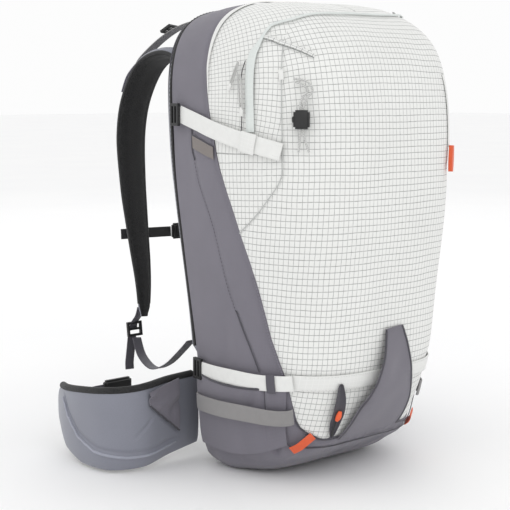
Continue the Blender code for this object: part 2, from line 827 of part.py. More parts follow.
def lower_web(side):
    """Webbing from the pad's buckle back to the lower corner of the back panel."""
    name = "lower_web_" + name_side(side)
    route = [(-0.099, 0.2420, 0.1360), (-0.103, 0.225, 0.114), (-0.110, 0.191, 0.104), (-0.114, 0.156, 0.115),
             (-0.116, 0.124, 0.138), (-0.116, 0.1060, 0.154)]
    return flat_strap(name, mirrored(route, side), (1, 0, 0), 0.014, material(name, GREY))


def web_tail(side):
    """The loose end of the same webbing, hanging from the buckle."""
    name = "web_tail_" + name_side(side)
    route = [(-0.099, 0.2520, 0.1380), (-0.100, 0.2555, 0.110), (-0.101, 0.2560, 0.100), (-0.1015, 0.2550, 0.090)]
    return flat_strap(name, mirrored(route, side), (1, 0, 0), 0.014, material(name, GREY))


STERNUM_Z = 0.275
STERNUM_Y = 0.2675


def sternum_strap(side):
    name = "sternum_strap_" + name_side(side)
    route = [(-0.104, STERNUM_Y, STERNUM_Z), (-0.060, STERNUM_Y - 0.001, STERNUM_Z - 0.001),
             (-0.0195, STERNUM_Y - 0.002, STERNUM_Z - 0.002)]
    return flat_strap(name, mirrored(route, side), (0, 0.1, 1), 0.014, material(name, BLACK), count=6)


def sternum_buckle():
    return block("sternum_buckle", (0.036, 0.0085, 0.022), (0, STERNUM_Y - 0.002, STERNUM_Z - 0.002),
                 material("sternum_buckle", BLACK, 0.35), None, 0.0025)


# ---------------------------------------------------------------- hip belt

WING_ROUTE = [(-0.100, 0.1180, 0.0), (-0.150, 0.1120, 0.0), (-0.200, 0.1020, 0.0), (-0.232, 0.122, 0.0),
              (-0.238, 0.165, 0.0), (-0.229, 0.215, 0.0), (-0.207, 0.262, 0.0)]
WING_TOP = (0.106, 0.106, 0.105, 0.102, 0.096, 0.089, 0.082)
WING_LOW = (0.016, 0.011, 0.006, 0.0035, 0.0035, 0.012, 0.034)


def hip_wing(side):
    """Moulded foam wing: a dished pad that runs out from the lumbar pad and round the hip."""
    name = "hip_wing_" + name_side(side)
    count = 15
    path = smooth_path(mirrored(WING_ROUTE, side), count)
    rings = []
    spots = np.linspace(0, 1, len(WING_TOP))
    for i, (place, way) in enumerate(zip(path, tangents(path))):
        t = i / (count - 1)
        top = float(np.interp(t, spots, WING_TOP))
        low = float(np.interp(t, spots, WING_LOW))
        out = way.cross(Vector((0, 0, 1))).normalized() * side
        ring = []
        for k in range(14):
            c, s = round_corner(2 * math.pi * k / 14, 3.0)
            ring.append(Vector((place.x, place.y, (top + low) / 2)) + Vector((0, 0, 1)) * (top - low) / 2 * c
                        + out * 0.0065 * s)
        rings.append(ring)
    return loft(name, rings, material(name, PALE_GREY))


def hip_gusset(side):
    """Grey stabiliser cloth on the wing's outer root."""
    name = "hip_gusset_" + name_side(side)
    points = mirrored([(-0.142, 0.1020, 0.070), (-0.165, 0.0985, 0.072), (-0.186, 0.0935, 0.078)], side)
    return flat_strap(name, points, (0, 0, 1), 0.050, material(name, GREY), count=6, thick=0.0012)


def hip_web(side):
    """Belt webbing from the wing's inner tip towards the buckle."""
    name = "hip_web_" + name_side(side)
    route = [(-0.190, 0.262, 0.058), (-0.170, 0.272, 0.057), (-0.145, 0.280, 0.056), (-0.125, 0.284, 0.055)]
    return flat_strap(name, mirrored(route, side), (0, 0, 1), 0.024, material(name, GREY), count=8)


def hip_buckle(side):
    name = "hip_buckle_" + name_side(side)
    place = mirrored([(-0.1010, 0.2855, 0.055)], side)[0]
    return block(name, (0.046, 0.011, 0.034), place, material(name, BLACK, 0.35), None, 0.003)


def lumbar_pad():
    """Foam pad below the back panel, shared by both wings."""
    path = [(-0.088, 0.0945, 0.070), (-0.04, 0.0965, 0.070), (0.04, 0.0965, 0.070), (0.088, 0.0945, 0.070)]
    return pad_along("lumbar_pad", path, (0, 0, 1), (0.085, 0.105, 0.105, 0.085), (0.022, 0.024, 0.024, 0.022),
                     material("lumbar_pad", BLACK), count=9)


def both(builder):
    for side in (-1, 1):
        builder(side)


def build():
    front_panel()
    both(side_panel)
    base_panel()
    both(side_pocket)
    carry_loop()
    both(ski_band)
    both(lower_strap)
    both(upper_strap)
    for side in (-1, 1):
        side_buckle("lower_buckle_" + name_side(side), side * 0.786, 0.035, 0.09)
        side_buckle("upper_buckle_" + name_side(side), side * 0.320, 0.045, 0.10)
    front_band()
    tool_sleeve()
    tool_toggle()
    both(base_tab)
    top_zip()
    zip_pull_left()
    zip_pull_right()
    side_zip_pull()
    back_zip()
    tool_cord("a", -1)
    tool_cord("b", 1)
    cord_lock_body()
    cord_lock_button()
    back_pad()
    frame_sheet()
    frame_rod()
    both(shoulder_pad)
    both(lifter_strap)
    both(lifter_buckle)
    haul_loop()
    both(pad_buckle)
    both(lower_web)
    both(web_tail)
    both(sternum_strap)
    sternum_buckle()
    lumbar_pad()
    both(hip_wing)
    both(hip_gusset)
    both(hip_web)
    both(hip_buckle)


build()
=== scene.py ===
import math

import bmesh
import bpy
import numpy as np
from mathutils import Matrix, Vector, noise


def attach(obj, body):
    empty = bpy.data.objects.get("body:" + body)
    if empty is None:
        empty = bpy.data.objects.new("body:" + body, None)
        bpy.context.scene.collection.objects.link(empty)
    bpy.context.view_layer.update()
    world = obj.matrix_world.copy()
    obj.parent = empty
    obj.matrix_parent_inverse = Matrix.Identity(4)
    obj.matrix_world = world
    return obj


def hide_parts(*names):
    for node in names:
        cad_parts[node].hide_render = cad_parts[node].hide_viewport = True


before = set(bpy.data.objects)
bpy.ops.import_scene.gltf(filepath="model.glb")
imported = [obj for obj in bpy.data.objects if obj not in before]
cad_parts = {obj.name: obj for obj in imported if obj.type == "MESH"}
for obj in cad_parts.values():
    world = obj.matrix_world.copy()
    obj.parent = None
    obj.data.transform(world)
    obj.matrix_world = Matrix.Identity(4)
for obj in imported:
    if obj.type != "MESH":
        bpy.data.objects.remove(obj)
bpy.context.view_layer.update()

# ---------------------------------------------------------------- sizes of the stuffed bag, in metres

BAG_HEIGHT = 0.574
LOW_HALF_WIDTH = 0.128
HIGH_HALF_WIDTH = 0.150
LOW_DEPTH = 0.195
HIGH_DEPTH = 0.240
BACK_FOOT_Y = 0.070
BACK_LEAN = 0.067
LOW_CORNER_TOP = 0.14
ARCH_START = 0.40
SPINE_LOW = 0.16
SPINE_HIGH = 0.42
BULGE = 0.05
BASE_FLAT = 0.004
LOW_ROUND = 6.0
ARCH_ROUND = 3.8
DEPTH_ROUND = 4.0
FOOT_DEPTH_ROUND = 2.4
FOOT_LOW = 0.02
FOOT_HIGH = 0.18
LOW_TURN = 0.22
ARCH_TURN = 0.62

CLOTH = 0.0009
WEBBING = 0.0014
SIDE_END = 0.776
BASE_START = 0.776
WHITE_EDGE_ROUND = (0.0, 0.10, 0.127, 0.157, 0.19, 0.252, 0.288, 0.33, 0.358, 0.41,
                    0.522, 0.572, 0.62, 0.712, 0.778, 0.80, 0.852, 0.882, 0.915, 1.0)
WHITE_EDGE_FORWARD = (0.160, 0.185, 0.196, 0.190, 0.185, 0.181, 0.188, 0.200, 0.213, 0.232,
                      0.294, 0.325, 0.350, 0.388, 0.431, 0.452, 0.494, 0.560, 0.606, 0.620)
CORNER_ROUND = (0.0, 0.202, 0.215, 0.235, 0.277, 0.325, 0.405, 0.420, 0.435, 0.455, 0.483, 0.505, 0.526, 1.0)
CORNER_FORWARD = (0.425, 0.431, 0.438, 0.444, 0.450, 0.450, 0.450, 0.444, 0.431, 0.406, 0.369,
                  0.331, 0.290, 0.290)
RIPSTOP_ACROSS = 0.0062
RIPSTOP_DOWN = 0.0074

# Colours, linear.
WHITE = (0.84, 0.845, 0.825)
THREAD = (0.13, 0.135, 0.135)
GREY = (0.178, 0.168, 0.200)
DARK_GREY = (0.060, 0.057, 0.070)
FOAM_GREY = (0.215, 0.222, 0.265)
WEB_GREY = (0.27, 0.262, 0.262)
BLACK = (0.014, 0.014, 0.0145)
ORANGE = (0.78, 0.115, 0.035)
METAL = (0.75, 0.75, 0.77)


def side_name(side):
    return "left" if side < 0 else "right"


# ---------------------------------------------------------------- shape of the bag

def ease(t):
    t = min(max(t, 0.0), 1.0)
    return t * t * (3.0 - 2.0 * t)


def half_width(z):
    return LOW_HALF_WIDTH + (HIGH_HALF_WIDTH - LOW_HALF_WIDTH) * ease((z - 0.10) / 0.33)


def back_y(z):
    return BACK_FOOT_Y + BACK_LEAN * z


def depth(z):
    return LOW_DEPTH + (HIGH_DEPTH - LOW_DEPTH) * ease(z / 0.45)


def round_corner(angle, power):
    c = math.cos(angle)
    s = math.sin(angle)
    size = (abs(c) ** power + abs(s) ** power) ** (1.0 / power)
    return c / size, s / size


def rim(up):
    """Point on one half of the back rim: up is 0 at the bottom centre and 1 at the top centre."""
    if up < LOW_TURN:
        c, s = round_corner(up / LOW_TURN * math.pi / 2, LOW_ROUND)
        return half_width(LOW_CORNER_TOP) * s, LOW_CORNER_TOP * (1.0 - c)
    if up < ARCH_TURN:
        z = LOW_CORNER_TOP + (ARCH_START - LOW_CORNER_TOP) * (up - LOW_TURN) / (ARCH_TURN - LOW_TURN)
        return half_width(z), z
    c, s = round_corner((up - ARCH_TURN) / (1.0 - ARCH_TURN) * math.pi / 2, ARCH_ROUND)
    return half_width(ARCH_START) * c, ARCH_START + (BAG_HEIGHT - ARCH_START) * s


def depth_round(rim_z):
    """The foot of the bag is rounder from back to front than its body."""
    rise = ease((rim_z - FOOT_LOW) / (FOOT_HIGH - FOOT_LOW))
    return FOOT_DEPTH_ROUND + (DEPTH_ROUND - FOOT_DEPTH_ROUND) * rise


def bag_point(turn, forward):
    """Point on the bag: turn is 0 at the top centre and -1 or 1 at the bottom, forward 0 at the back."""
    side = -1.0 if turn < 0 else 1.0
    x, z = rim(1.0 - min(abs(turn), 1.0))
    spine = min(max(z, SPINE_LOW), SPINE_HIGH)
    spread, reach = round_corner(min(max(forward, 0.0), 1.0) * math.pi / 2, depth_round(z))
    spread *= 1.0 + 4.0 * BULGE * reach * (1.0 - reach)
    high = max(spine + (z - spine) * spread - BASE_FLAT, 0.0)
    return Vector((side * x * spread, back_y(high) - depth(high) * reach, high))


def bag_normal(turn, forward):
    step = 0.004
    turn = min(max(turn, -1.0 + step), 1.0 - step)
    if abs(turn) < step:
        turn = step
    forward = min(max(forward, step), 1.0 - step)
    along = bag_point(turn + step, forward) - bag_point(turn - step, forward)
    across = bag_point(turn, forward + step) - bag_point(turn, forward - step)
    normal = along.cross(across).normalized()
    place = bag_point(turn, forward)
    middle = Vector((0.0, 0.0, min(max(place.z, SPINE_LOW), SPINE_HIGH)))
    return normal if normal.dot(place - middle) > 0 else -normal


def on_bag(turn, forward, lift):
    return bag_point(turn, forward) + bag_normal(turn, forward) * lift


def white_edge(turn):
    return float(np.interp(abs(turn), WHITE_EDGE_ROUND, WHITE_EDGE_FORWARD))


def corner_seam(turn):
    """Where the front cloth meets the side gusset; below the gusset's point it is the grey panel's edge."""
    return max(float(np.interp(abs(turn), CORNER_ROUND, CORNER_FORWARD)), white_edge(turn) + 0.0005)


def reach_lengths(turn, steps=24):
    """Cloth length from the front ridge back to each forward step, at this turn."""
    spots = np.linspace(1.0, 0.0, steps)
    total = [0.0]
    last = bag_point(turn, 1.0)
    for forward in spots[1:]:
        here = bag_point(turn, forward)
        total.append(total[-1] + (here - last).length)
        last = here
    return spots[::-1], total[::-1]


LENGTHS = {}


def cloth_place(turn, forward):
    """Where a point of the bag lies on the flat cloth, in metres, for the ripstop grid."""
    key = round(turn, 5)
    if key not in LENGTHS:
        LENGTHS[key] = reach_lengths(turn)
    spots, lengths = LENGTHS[key]
    run = float(np.interp(forward, spots, lengths))
    x, z = rim(1.0 - min(abs(turn), 1.0))
    side = -1.0 if turn < 0 else 1.0
    spine = min(max(z, SPINE_LOW), SPINE_HIGH)
    way = Vector((side * x, z - spine))
    way = way.normalized() if way.length > 0 else Vector((1.0, 0.0))
    return way.x * run, spine + way.y * run


def inside_bag(place):
    """True when a point lies in the bag's front half."""
    z = place.z + BASE_FLAT
    reach = (back_y(place.z) - place.y) / depth(place.z)
    if reach <= 0.0 or reach >= 1.0:
        return False
    spine = min(max(z, SPINE_LOW), SPINE_HIGH)
    rim_z = z
    for _ in range(8):
        power = depth_round(rim_z)
        spread = (1.0 - reach ** power) ** (1.0 / power)
        spread *= 1.0 + 4.0 * BULGE * reach * (1.0 - reach)
        rim_z = max(spine + (z - spine) / spread, 0.0)
    if rim_z <= 0.0 or rim_z >= BAG_HEIGHT:
        return False
    return abs(place.x) / spread < rim_half_width(rim_z)


def rim_half_width(z):
    if z < LOW_CORNER_TOP:
        drop = (LOW_CORNER_TOP - z) / LOW_CORNER_TOP
        return half_width(LOW_CORNER_TOP) * (1.0 - drop ** LOW_ROUND) ** (1.0 / LOW_ROUND)
    if z < ARCH_START:
        return half_width(z)
    rise = (z - ARCH_START) / (BAG_HEIGHT - ARCH_START)
    return half_width(ARCH_START) * (1.0 - rise ** ARCH_ROUND) ** (1.0 / ARCH_ROUND)


def front_y(x, z):
    low = -0.20
    high = 0.0
    for _ in range(26):
        mid = (low + high) / 2
        if inside_bag(Vector((x, mid, z))):
            high = mid
        else:
            low = mid
    return (low + high) / 2


def front_point(x, z):
    """Point and outward way on the front of the bag."""
    step = 0.003
    dx = front_y(x + step, z) - front_y(x - step, z)
    dz = front_y(x, z + step) - front_y(x, z - step)
    out = Vector((dx / (2 * step), -1.0, dz / (2 * step))).normalized()
    return Vector((x, front_y(x, z), z)), out


def on_front(x, z, lift):
    place, out = front_point(x, z)
    return place + out * lift


# ---------------------------------------------------------------- camera, from the wearer's left and the front

def make_camera():
    distance = 1.6
    height = 0.469
    pitch = math.atan(165 / 1280)
    yaw = math.radians(45.0) - math.atan(61 / (1280 / math.cos(pitch)))
    lens = bpy.data.cameras.new("camera")
    lens.lens = 1280 / 510 * 36
    lens.sensor_width = 36
    lens.clip_end = 50
    camera = bpy.data.objects.new("camera", lens)
    bpy.context.scene.collection.objects.link(camera)
    camera.location = (-distance * math.sin(math.radians(45)), -distance * math.cos(math.radians(45)), height)
    camera.rotation_euler = (math.radians(90) - pitch, 0.0, -yaw)
    bpy.context.scene.camera = camera


make_camera()


# ---------------------------------------------------------------- modelling helpers

def select_only(thing):
    bpy.ops.object.select_all(action="DESELECT")
    thing.select_set(True)
    bpy.context.view_layer.objects.active = thing


def grid(name, across, along, place, cloth=None):
    """A grid primitive whose points are moved to place(u, v), u and v from 0 to 1."""
    bpy.ops.object.select_all(action="DESELECT")
    bpy.ops.mesh.primitive_grid_add(x_subdivisions=across, y_subdivisions=along, size=2.0)
    thing = bpy.context.object
    thing.name = name
    mesh = thing.data
    spots = [((p.co.x + 1) / 2, (p.co.y + 1) / 2) for p in mesh.vertices]
    chart = mesh.uv_layers[0]
    for loop in mesh.loops:
        u, v = spots[loop.vertex_index]
        chart.uv[loop.index].vector = cloth(u, v) if cloth else (u, v)
    for point, (u, v) in zip(mesh.vertices, spots):
        point.co = place(u, v)
    return thing


def apply_modifier(thing, kind, **settings):
    select_only(thing)
    made = thing.modifiers.new(kind.lower(), kind)
    for key, value in settings.items():
        setattr(made, key, value)
    bpy.ops.object.modifier_apply(modifier=made.name)


def merge(thing, distance=0.00002):
    work = bmesh.new()
    work.from_mesh(thing.data)
    bmesh.ops.remove_doubles(work, verts=work.verts, dist=distance)
    bmesh.ops.recalc_face_normals(work, faces=work.faces)
    work.to_mesh(thing.data)
    work.free()


def close_ends(thing):
    work = bmesh.new()
    work.from_mesh(thing.data)
    bmesh.ops.remove_doubles(work, verts=work.verts, dist=0.00002)
    bmesh.ops.holes_fill(work, edges=work.edges[:], sides=0)
    bmesh.ops.recalc_face_normals(work, faces=work.faces)
    work.to_mesh(thing.data)
    work.free()


def face_out(thing, middle):
    """Turns a sheet's faces to look away from a point."""
    mesh = thing.data
    total = sum((f.center - Vector(middle)).dot(f.normal) for f in mesh.polygons)
    if total < 0:
        mesh.flip_normals()


def thicken(thing, thick, bevel=0.0, offset=-1.0):
    apply_modifier(thing, "SOLIDIFY", thickness=thick, offset=offset, use_even_offset=False)
    if bevel:
        apply_modifier(thing, "BEVEL", width=bevel, segments=2, limit_method="ANGLE",
                       angle_limit=math.radians(50))


def smooth(thing, angle=45):
    select_only(thing)
    bpy.ops.object.shade_smooth_by_angle(angle=math.radians(angle))


def dress(thing, paint, body, nodes=(), slot=None, angle=45):
    """Gives a piece its material, its body and the CAD nodes that it stands for."""
    if paint is not None:
        thing.data.materials.clear()
        thing.data.materials.append(paint)
    if angle:
        smooth(thing, angle)
    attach(thing, body)
    nodes = [nodes] if isinstance(nodes, str) else list(nodes)
    if nodes:
        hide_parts(*nodes)
    slot or nodes[0]
    return thing


def join(things, name):
    bpy.ops.object.select_all(action="DESELECT")
    for thing in things:
        thing.select_set(True)
    bpy.context.view_layer.objects.active = things[0]
    bpy.ops.object.join()
    things[0].name = name
    return things[0]


def smooth_path(points, count):
    """Even samples along a smooth line through the points."""
    knots = [Vector(p) for p in points]
    fine = []
    for i in range(len(knots) - 1):
        a = knots[max(i - 1, 0)]
        b = knots[i]
        c = knots[i + 1]
        d = knots[min(i + 2, len(knots) - 1)]
        for k in range(12):
            t = k / 12.0
            fine.append(0.5 * (2 * b + (c - a) * t + (2 * a - 5 * b + 4 * c - d) * t * t
                               + (3 * b - a - 3 * c + d) * t * t * t))
    fine.append(knots[-1])
    lengths = [0.0]
    for a, b in zip(fine, fine[1:]):
        lengths.append(lengths[-1] + (b - a).length)
    places = np.linspace(0.0, lengths[-1], count)
    return [Vector([float(np.interp(s, lengths, [p[k] for p in fine])) for k in range(3)]) for s in places]


def tangents(path):
    last = len(path) - 1
    return [(path[min(i + 1, last)] - path[max(i - 1, 0)]).normalized() for i in range(len(path))]


def path_length(path):
    return sum((b - a).length for a, b in zip(path, path[1:]))


def at_step(values, t):
    spots = np.linspace(0.0, 1.0, len(values))
    return float(np.interp(t, spots, values))


def band(name, path, outs, width, thick=WEBBING, cross=6, arch=0.0, bevel=0.0004):
    """A flat strip on a path, its outer face towards outs, its width a number or a function."""
    count = len(path)
    ways = tangents(path)
    sides = [o.cross(w).normalized() for o, w in zip(outs, ways)]
    length = path_length(path)

    def wide_at(t):
        return width(t) if callable(width) else width

    def place(u, v):
        i = min(int(round(v * (count - 1))), count - 1)
        s = u - 0.5
        return path[i] + sides[i] * wide_at(v) * s + outs[i] * arch * (0.25 - s * s) * 4

    def cloth(u, v):
        return (u - 0.5) * wide_at(v), v * length

    thing = grid(name, cross, count - 1, place, cloth)
    mesh = thing.data
    if sum(f.normal.dot(outs[len(outs) // 2]) for f in mesh.polygons) < 0:
        mesh.flip_normals()
    thicken(thing, thick, bevel)
    return thing


def flat_path(points, wide_way, count):
    path = smooth_path(points, count)
    outs = []
    for way in tangents(path):
        side = (Vector(wide_way) - way * way.dot(Vector(wide_way))).normalized()
        outs.append(way.cross(side).normalized())
    return path, outs


def bag_path(route, lift, count, thick=WEBBING):
    knots = smooth_path([(turn, forward, 0.0) for turn, forward in route], count)
    path = []
    outs = []
    for i, knot in enumerate(knots):
        raised = lift(i / (count - 1)) if callable(lift) else lift
        outs.append(bag_normal(knot.x, knot.y))
        path.append(bag_point(knot.x, knot.y) + outs[-1] * (raised + thick))
    return path, outs


def mirrored(points, side):
    """Points are written for the wearer's left, where X is negative."""
    return [(-side * x, y, z) for x, y, z in points]


def rod(name, points, radius, sides=12, count=24, smooth_line=True, taper=None):
    """A round bar on a path, its ends closed."""
    path = smooth_path(points, count) if smooth_line else [Vector(p) for p in points]
    ways = tangents(path)
    frames = []
    guess = Vector((0.31, 0.27, 0.91))
    for way in ways:
        side = (guess - way * way.dot(guess)).normalized()
        frames.append((side, way.cross(side)))
        guess = side
    last = len(path) - 1
    length = path_length(path)

    def place(u, v):
        i = min(int(round(v * last)), last)
        angle = 2 * math.pi * u
        wide = radius * (taper(v) if taper else 1.0)
        return path[i] + (frames[i][0] * math.cos(angle) + frames[i][1] * math.sin(angle)) * wide

    thing = grid(name, sides, last, place, lambda u, v: (u * 2 * math.pi * radius, v * length))
    close_ends(thing)
    return thing


def rounded_copy(node, name, bevel, segments=2):
    """A softened copy of a hard CAD piece."""
    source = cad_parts[node]
    mesh = source.data.copy()
    thing = bpy.data.objects.new(name, mesh)
    bpy.context.scene.collection.objects.link(thing)
    merge(thing, 0.00001)
    work = bmesh.new()
    work.from_mesh(mesh)
    bmesh.ops.dissolve_limit(work, angle_limit=math.radians(1.5), verts=work.verts, edges=work.edges)
    work.to_mesh(mesh)
    work.free()
    apply_modifier(thing, "BEVEL", width=bevel, segments=segments, limit_method="ANGLE",
                   angle_limit=math.radians(40))
    return thing


# ---------------------------------------------------------------- shader helpers

class Link:
    """A socket that takes part in plain arithmetic; each step adds one Math node."""

    def __init__(self, tree, socket):
        self.tree = tree
        self.socket = socket

    def step(self, operation, *values):
        made = self.tree.nodes.new("ShaderNodeMath")
        made.operation = operation
        for slot, value in zip(made.inputs, values):
            if isinstance(value, Link):
                self.tree.links.new(value.socket, slot)
            else:
                slot.default_value = value
        return Link(self.tree, made.outputs[0])

    def __add__(self, other):
        return self.step("ADD", self, other)

    __radd__ = __add__

    def __sub__(self, other):
        return self.step("SUBTRACT", self, other)

    def __rsub__(self, other):
        return self.step("SUBTRACT", other, self)

    def __mul__(self, other):
        return self.step("MULTIPLY", self, other)

    __rmul__ = __mul__

    def __truediv__(self, other):
        return self.step("DIVIDE", self, other)

    def over(self, low, high):
        """0 below low, 1 above high, straight between."""
        made = self.step("MULTIPLY", self - low, 1.0 / (high - low))
        made.socket.node.use_clamp = True
        return made

    def wave(self, pitch):
        """-1 to 1 every pitch."""
        return self.step("SINE", self * (2 * math.pi / pitch))

    def saw(self, pitch):
        """0 to 1 every pitch."""
        return self.step("FRACT", self / pitch)

    def gap(self):
        """Distance from the middle of a saw step, 0 to 1."""
        return self.step("ABSOLUTE", self - 0.5) * 2.0

    def bigger(self, other):
        return self.step("MAXIMUM", self, other)


class Paint:
    """One Principled material and the nodes that feed it."""

    def __init__(self, name, roughness, **fixed):
        self.material = bpy.data.materials.new(name)
        self.material.use_nodes = True
        self.tree = self.material.node_tree
        self.shader = self.tree.nodes["Principled BSDF"]
        self.shader.inputs["Roughness"].default_value = roughness
        for key, value in fixed.items():
            self.shader.inputs[key.replace("_", " ")].default_value = value

    def node(self, kind, settings=None, inputs=None, output=0):
        made = self.tree.nodes.new(kind)
        for key, value in (settings or {}).items():
            setattr(made, key, value)
        for key, value in (inputs or {}).items():
            if isinstance(value, Link):
                self.tree.links.new(value.socket, made.inputs[key])
            else:
                made.inputs[key].default_value = value
        return Link(self.tree, made.outputs[output])

    def cloth(self):
        """The two flat-cloth coordinates, in metres."""
        chart = self.node("ShaderNodeUVMap")
        parts = self.tree.nodes.new("ShaderNodeSeparateXYZ")
        self.tree.links.new(chart.socket, parts.inputs[0])
        return Link(self.tree, parts.outputs[0]), Link(self.tree, parts.outputs[1]), chart

    def body(self):
        place = self.node("ShaderNodeTexCoord", output="Object")
        parts = self.tree.nodes.new("ShaderNodeSeparateXYZ")
        self.tree.links.new(place.socket, parts.inputs[0])
        return [Link(self.tree, parts.outputs[k]) for k in range(3)] + [place]

    def speckle(self, vector, scale, detail=2.0, roughness=0.5):
        inputs = {"Vector": vector, "Scale": scale, "Detail": detail, "Roughness": roughness}
        return self.node("ShaderNodeTexNoise", {"noise_dimensions": "3D"}, inputs)

    def mix(self, factor, first, second):
        made = self.tree.nodes.new("ShaderNodeMix")
        made.data_type = "RGBA"
        for key, value in ((0, factor), (6, first), (7, second)):
            if isinstance(value, Link):
                self.tree.links.new(value.socket, made.inputs[key])
            elif key == 0:
                made.inputs[key].default_value = value
            else:
                made.inputs[key].default_value = (*value, 1.0)
        return Link(self.tree, made.outputs[2])

    def feed(self, socket, link):
        self.tree.links.new(link.socket, self.shader.inputs[socket])

    def bump(self, height, distance, strength=1.0):
        inputs = {"Height": height, "Distance": distance, "Strength": strength}
        made = self.node("ShaderNodeBump", None, inputs)
        self.feed("Normal", made)


def shade(colour, factor):
    return tuple(c * factor for c in colour)


def ripstop_paint(name, base, thread, across, down_pitch, strength, roughness=0.60):
    """Cloth with a grid of darker, thicker threads."""
    paint = Paint(name, roughness, Sheen_Weight=0.1)
    u, v, chart = paint.cloth()
    u = u + (paint.speckle(chart, 14.0, 1.0) - 0.5) * 0.0035
    v = v + (paint.speckle(chart, 11.0, 1.0) - 0.5) * 0.0040
    fine_u = (paint.speckle(chart, 90.0, 1.0) - 0.5) * 0.0006
    down = (u + fine_u).saw(across).gap().over(0.865, 0.925)
    over = (v + fine_u).saw(down_pitch).gap().over(0.875, 0.925)
    lines = (down * 0.80).bigger(over)
    patchy = paint.speckle(chart, 240.0, 2.0).over(0.25, 0.70) * 0.45 + 0.55
    mottle = paint.speckle(chart, 9.0, 3.0).over(0.3, 0.7)
    ground = paint.mix(mottle, base, shade(base, 0.95))
    weave = u.wave(0.0011) * v.wave(0.0011)
    ground = paint.mix(weave.over(-1.0, 1.0) * 0.06, ground, shade(base, 0.8))
    paint.feed("Base Color", paint.mix(lines * patchy * strength, ground, thread))
    paint.bump(lines * 0.5 + weave * 0.18 + paint.speckle(chart, 55.0, 3.0) * 0.9, 0.0005, 0.55)
    return paint.material


def woven_paint(name, base, pitch=0.0011, fleck=0.16, roughness=0.78, depth_of=0.00035, stripe=0.0045):
    """Plain woven cloth with a faint ripstop stripe."""
    paint = Paint(name, roughness, Sheen_Weight=0.2)
    u, v, chart = paint.cloth()
    weave = u.wave(pitch) * v.wave(pitch)
    lines = u.saw(stripe).gap().over(0.88, 0.97).bigger(v.saw(stripe).gap().over(0.88, 0.97))
    mottle = paint.speckle(chart, 22.0, 4.0).over(0.3, 0.7)
    ground = paint.mix(mottle * 0.55, base, shade(base, 1.0 + fleck))
    ground = paint.mix(lines * 0.22, ground, shade(base, 1.35))
    ground = paint.mix(weave.over(-1.0, 1.0) * 0.22, ground, shade(base, 0.72))
    paint.feed("Base Color", ground)
    paint.bump(weave * 0.4 + lines * 0.3 + paint.speckle(chart, 60.0, 3.0) * 1.2, depth_of, 0.6)
    return paint.material


def webbing_paint(name, base, rib=0.0016, roughness=0.6):
    """Woven tape: ribs across, fine threads along."""
    paint = Paint(name, roughness, Sheen_Weight=0.15)
    u, v, chart = paint.cloth()
    ribs = v.wave(rib)
    threads = u.wave(0.0013)
    mottle = paint.speckle(chart, 120.0, 3.0).over(0.3, 0.7)
    ground = paint.mix(mottle * 0.5, base, shade(base, 0.9))
    ground = paint.mix((ribs * threads).over(-1.0, 1.0) * 0.22, ground, shade(base, 0.68))
    paint.feed("Base Color", ground)
    paint.bump(ribs * 0.5 + threads * 0.25 + mottle * 0.2, 0.0003, 0.5)
    return paint.material


def foam_paint(name, base):
    """Moulded foam faced with a fine smooth knit."""
    paint = Paint(name, 0.62, Sheen_Weight=0.25)
    x, y, z, place = paint.body()
    fine = paint.speckle(place, 900.0, 2.0)
    broad = paint.speckle(place, 16.0, 3.0).over(0.3, 0.7)
    ground = paint.mix(broad * 0.6, base, shade(base, 1.12))
    ground = paint.mix(fine.over(0.35, 0.65) * 0.35, ground, shade(base, 0.86))
    paint.feed("Base Color", ground)
    paint.bump(fine * 0.6 + broad * 0.4, 0.00022, 0.5)
    return paint.material


def mesh_paint(name, base):
    """Open spacer mesh: small round holes in a close pattern."""
    paint = Paint(name, 0.85, Sheen_Weight=0.1)
    x, y, z, place = paint.body()
    cells = paint.node("ShaderNodeTexVoronoi", {"feature": "F1"}, {"Vector": place, "Scale": 520.0})
    holes = cells.over(0.30, 0.55)
    broad = paint.speckle(place, 20.0, 3.0).over(0.3, 0.7)
    ground = paint.mix(holes, shade(base, 0.45), shade(base, 1.6))
    paint.feed("Base Color", paint.mix(broad * 0.4, ground, shade(base, 1.1)))
    paint.bump(holes, 0.0005, 0.6)
    return paint.material


def plastic_paint(name, base, roughness=0.42):
    """Moulded plastic with a light spark texture."""
    paint = Paint(name, roughness)
    x, y, z, place = paint.body()
    spark = paint.speckle(place, 1500.0, 2.0)
    broad = paint.speckle(place, 60.0, 2.0).over(0.3, 0.7)
    paint.feed("Base Color", paint.mix(broad * 0.5, base, shade(base, 1.25)))
    paint.feed("Roughness", spark * 0.2 + (roughness - 0.1))
    paint.bump(spark, 0.0001, 0.4)
    return paint.material


def cord_paint(name, base, stripe):
    """Braided cord: crossed strands, with the darker stripe colour between them as painted shade."""
    paint = Paint(name, 0.7, Sheen_Weight=0.2)
    u, v, chart = paint.cloth()
    first = (u * 1.0 + v * 1.0).wave(0.0016)
    second = (u * 1.0 - v * 1.0).wave(0.0016)
    braid = first.bigger(second)
    paint.feed("Base Color", paint.mix(braid.over(-0.2, 0.9), stripe, base))
    paint.bump(braid, 0.0003, 0.7)
    return paint.material


def cord_object_paint(name, base, stripe):
    """Braid on a curve's own thickness: crossed strands from the place in space."""
    paint = Paint(name, 0.7, Sheen_Weight=0.2)
    x, y, z, place = paint.body()
    braid = (z + x * 0.7).wave(0.0018).bigger((z - x * 0.7).wave(0.0018))
    # The darker stripe colour between the strands is painted shade.
    paint.feed("Base Color", paint.mix(braid.over(-0.2, 0.9), stripe, base))
    paint.bump(braid, 0.0003, 0.7)
    return paint.material


def metal_paint(name, base):
    paint = Paint(name, 0.34, Metallic=1.0)
    x, y, z, place = paint.body()
    drawn = paint.speckle(place, 300.0, 2.0)
    paint.feed("Base Color", paint.mix(drawn, base, shade(base, 0.8)))
    paint.feed("Roughness", drawn * 0.2 + 0.25)
    return paint.material


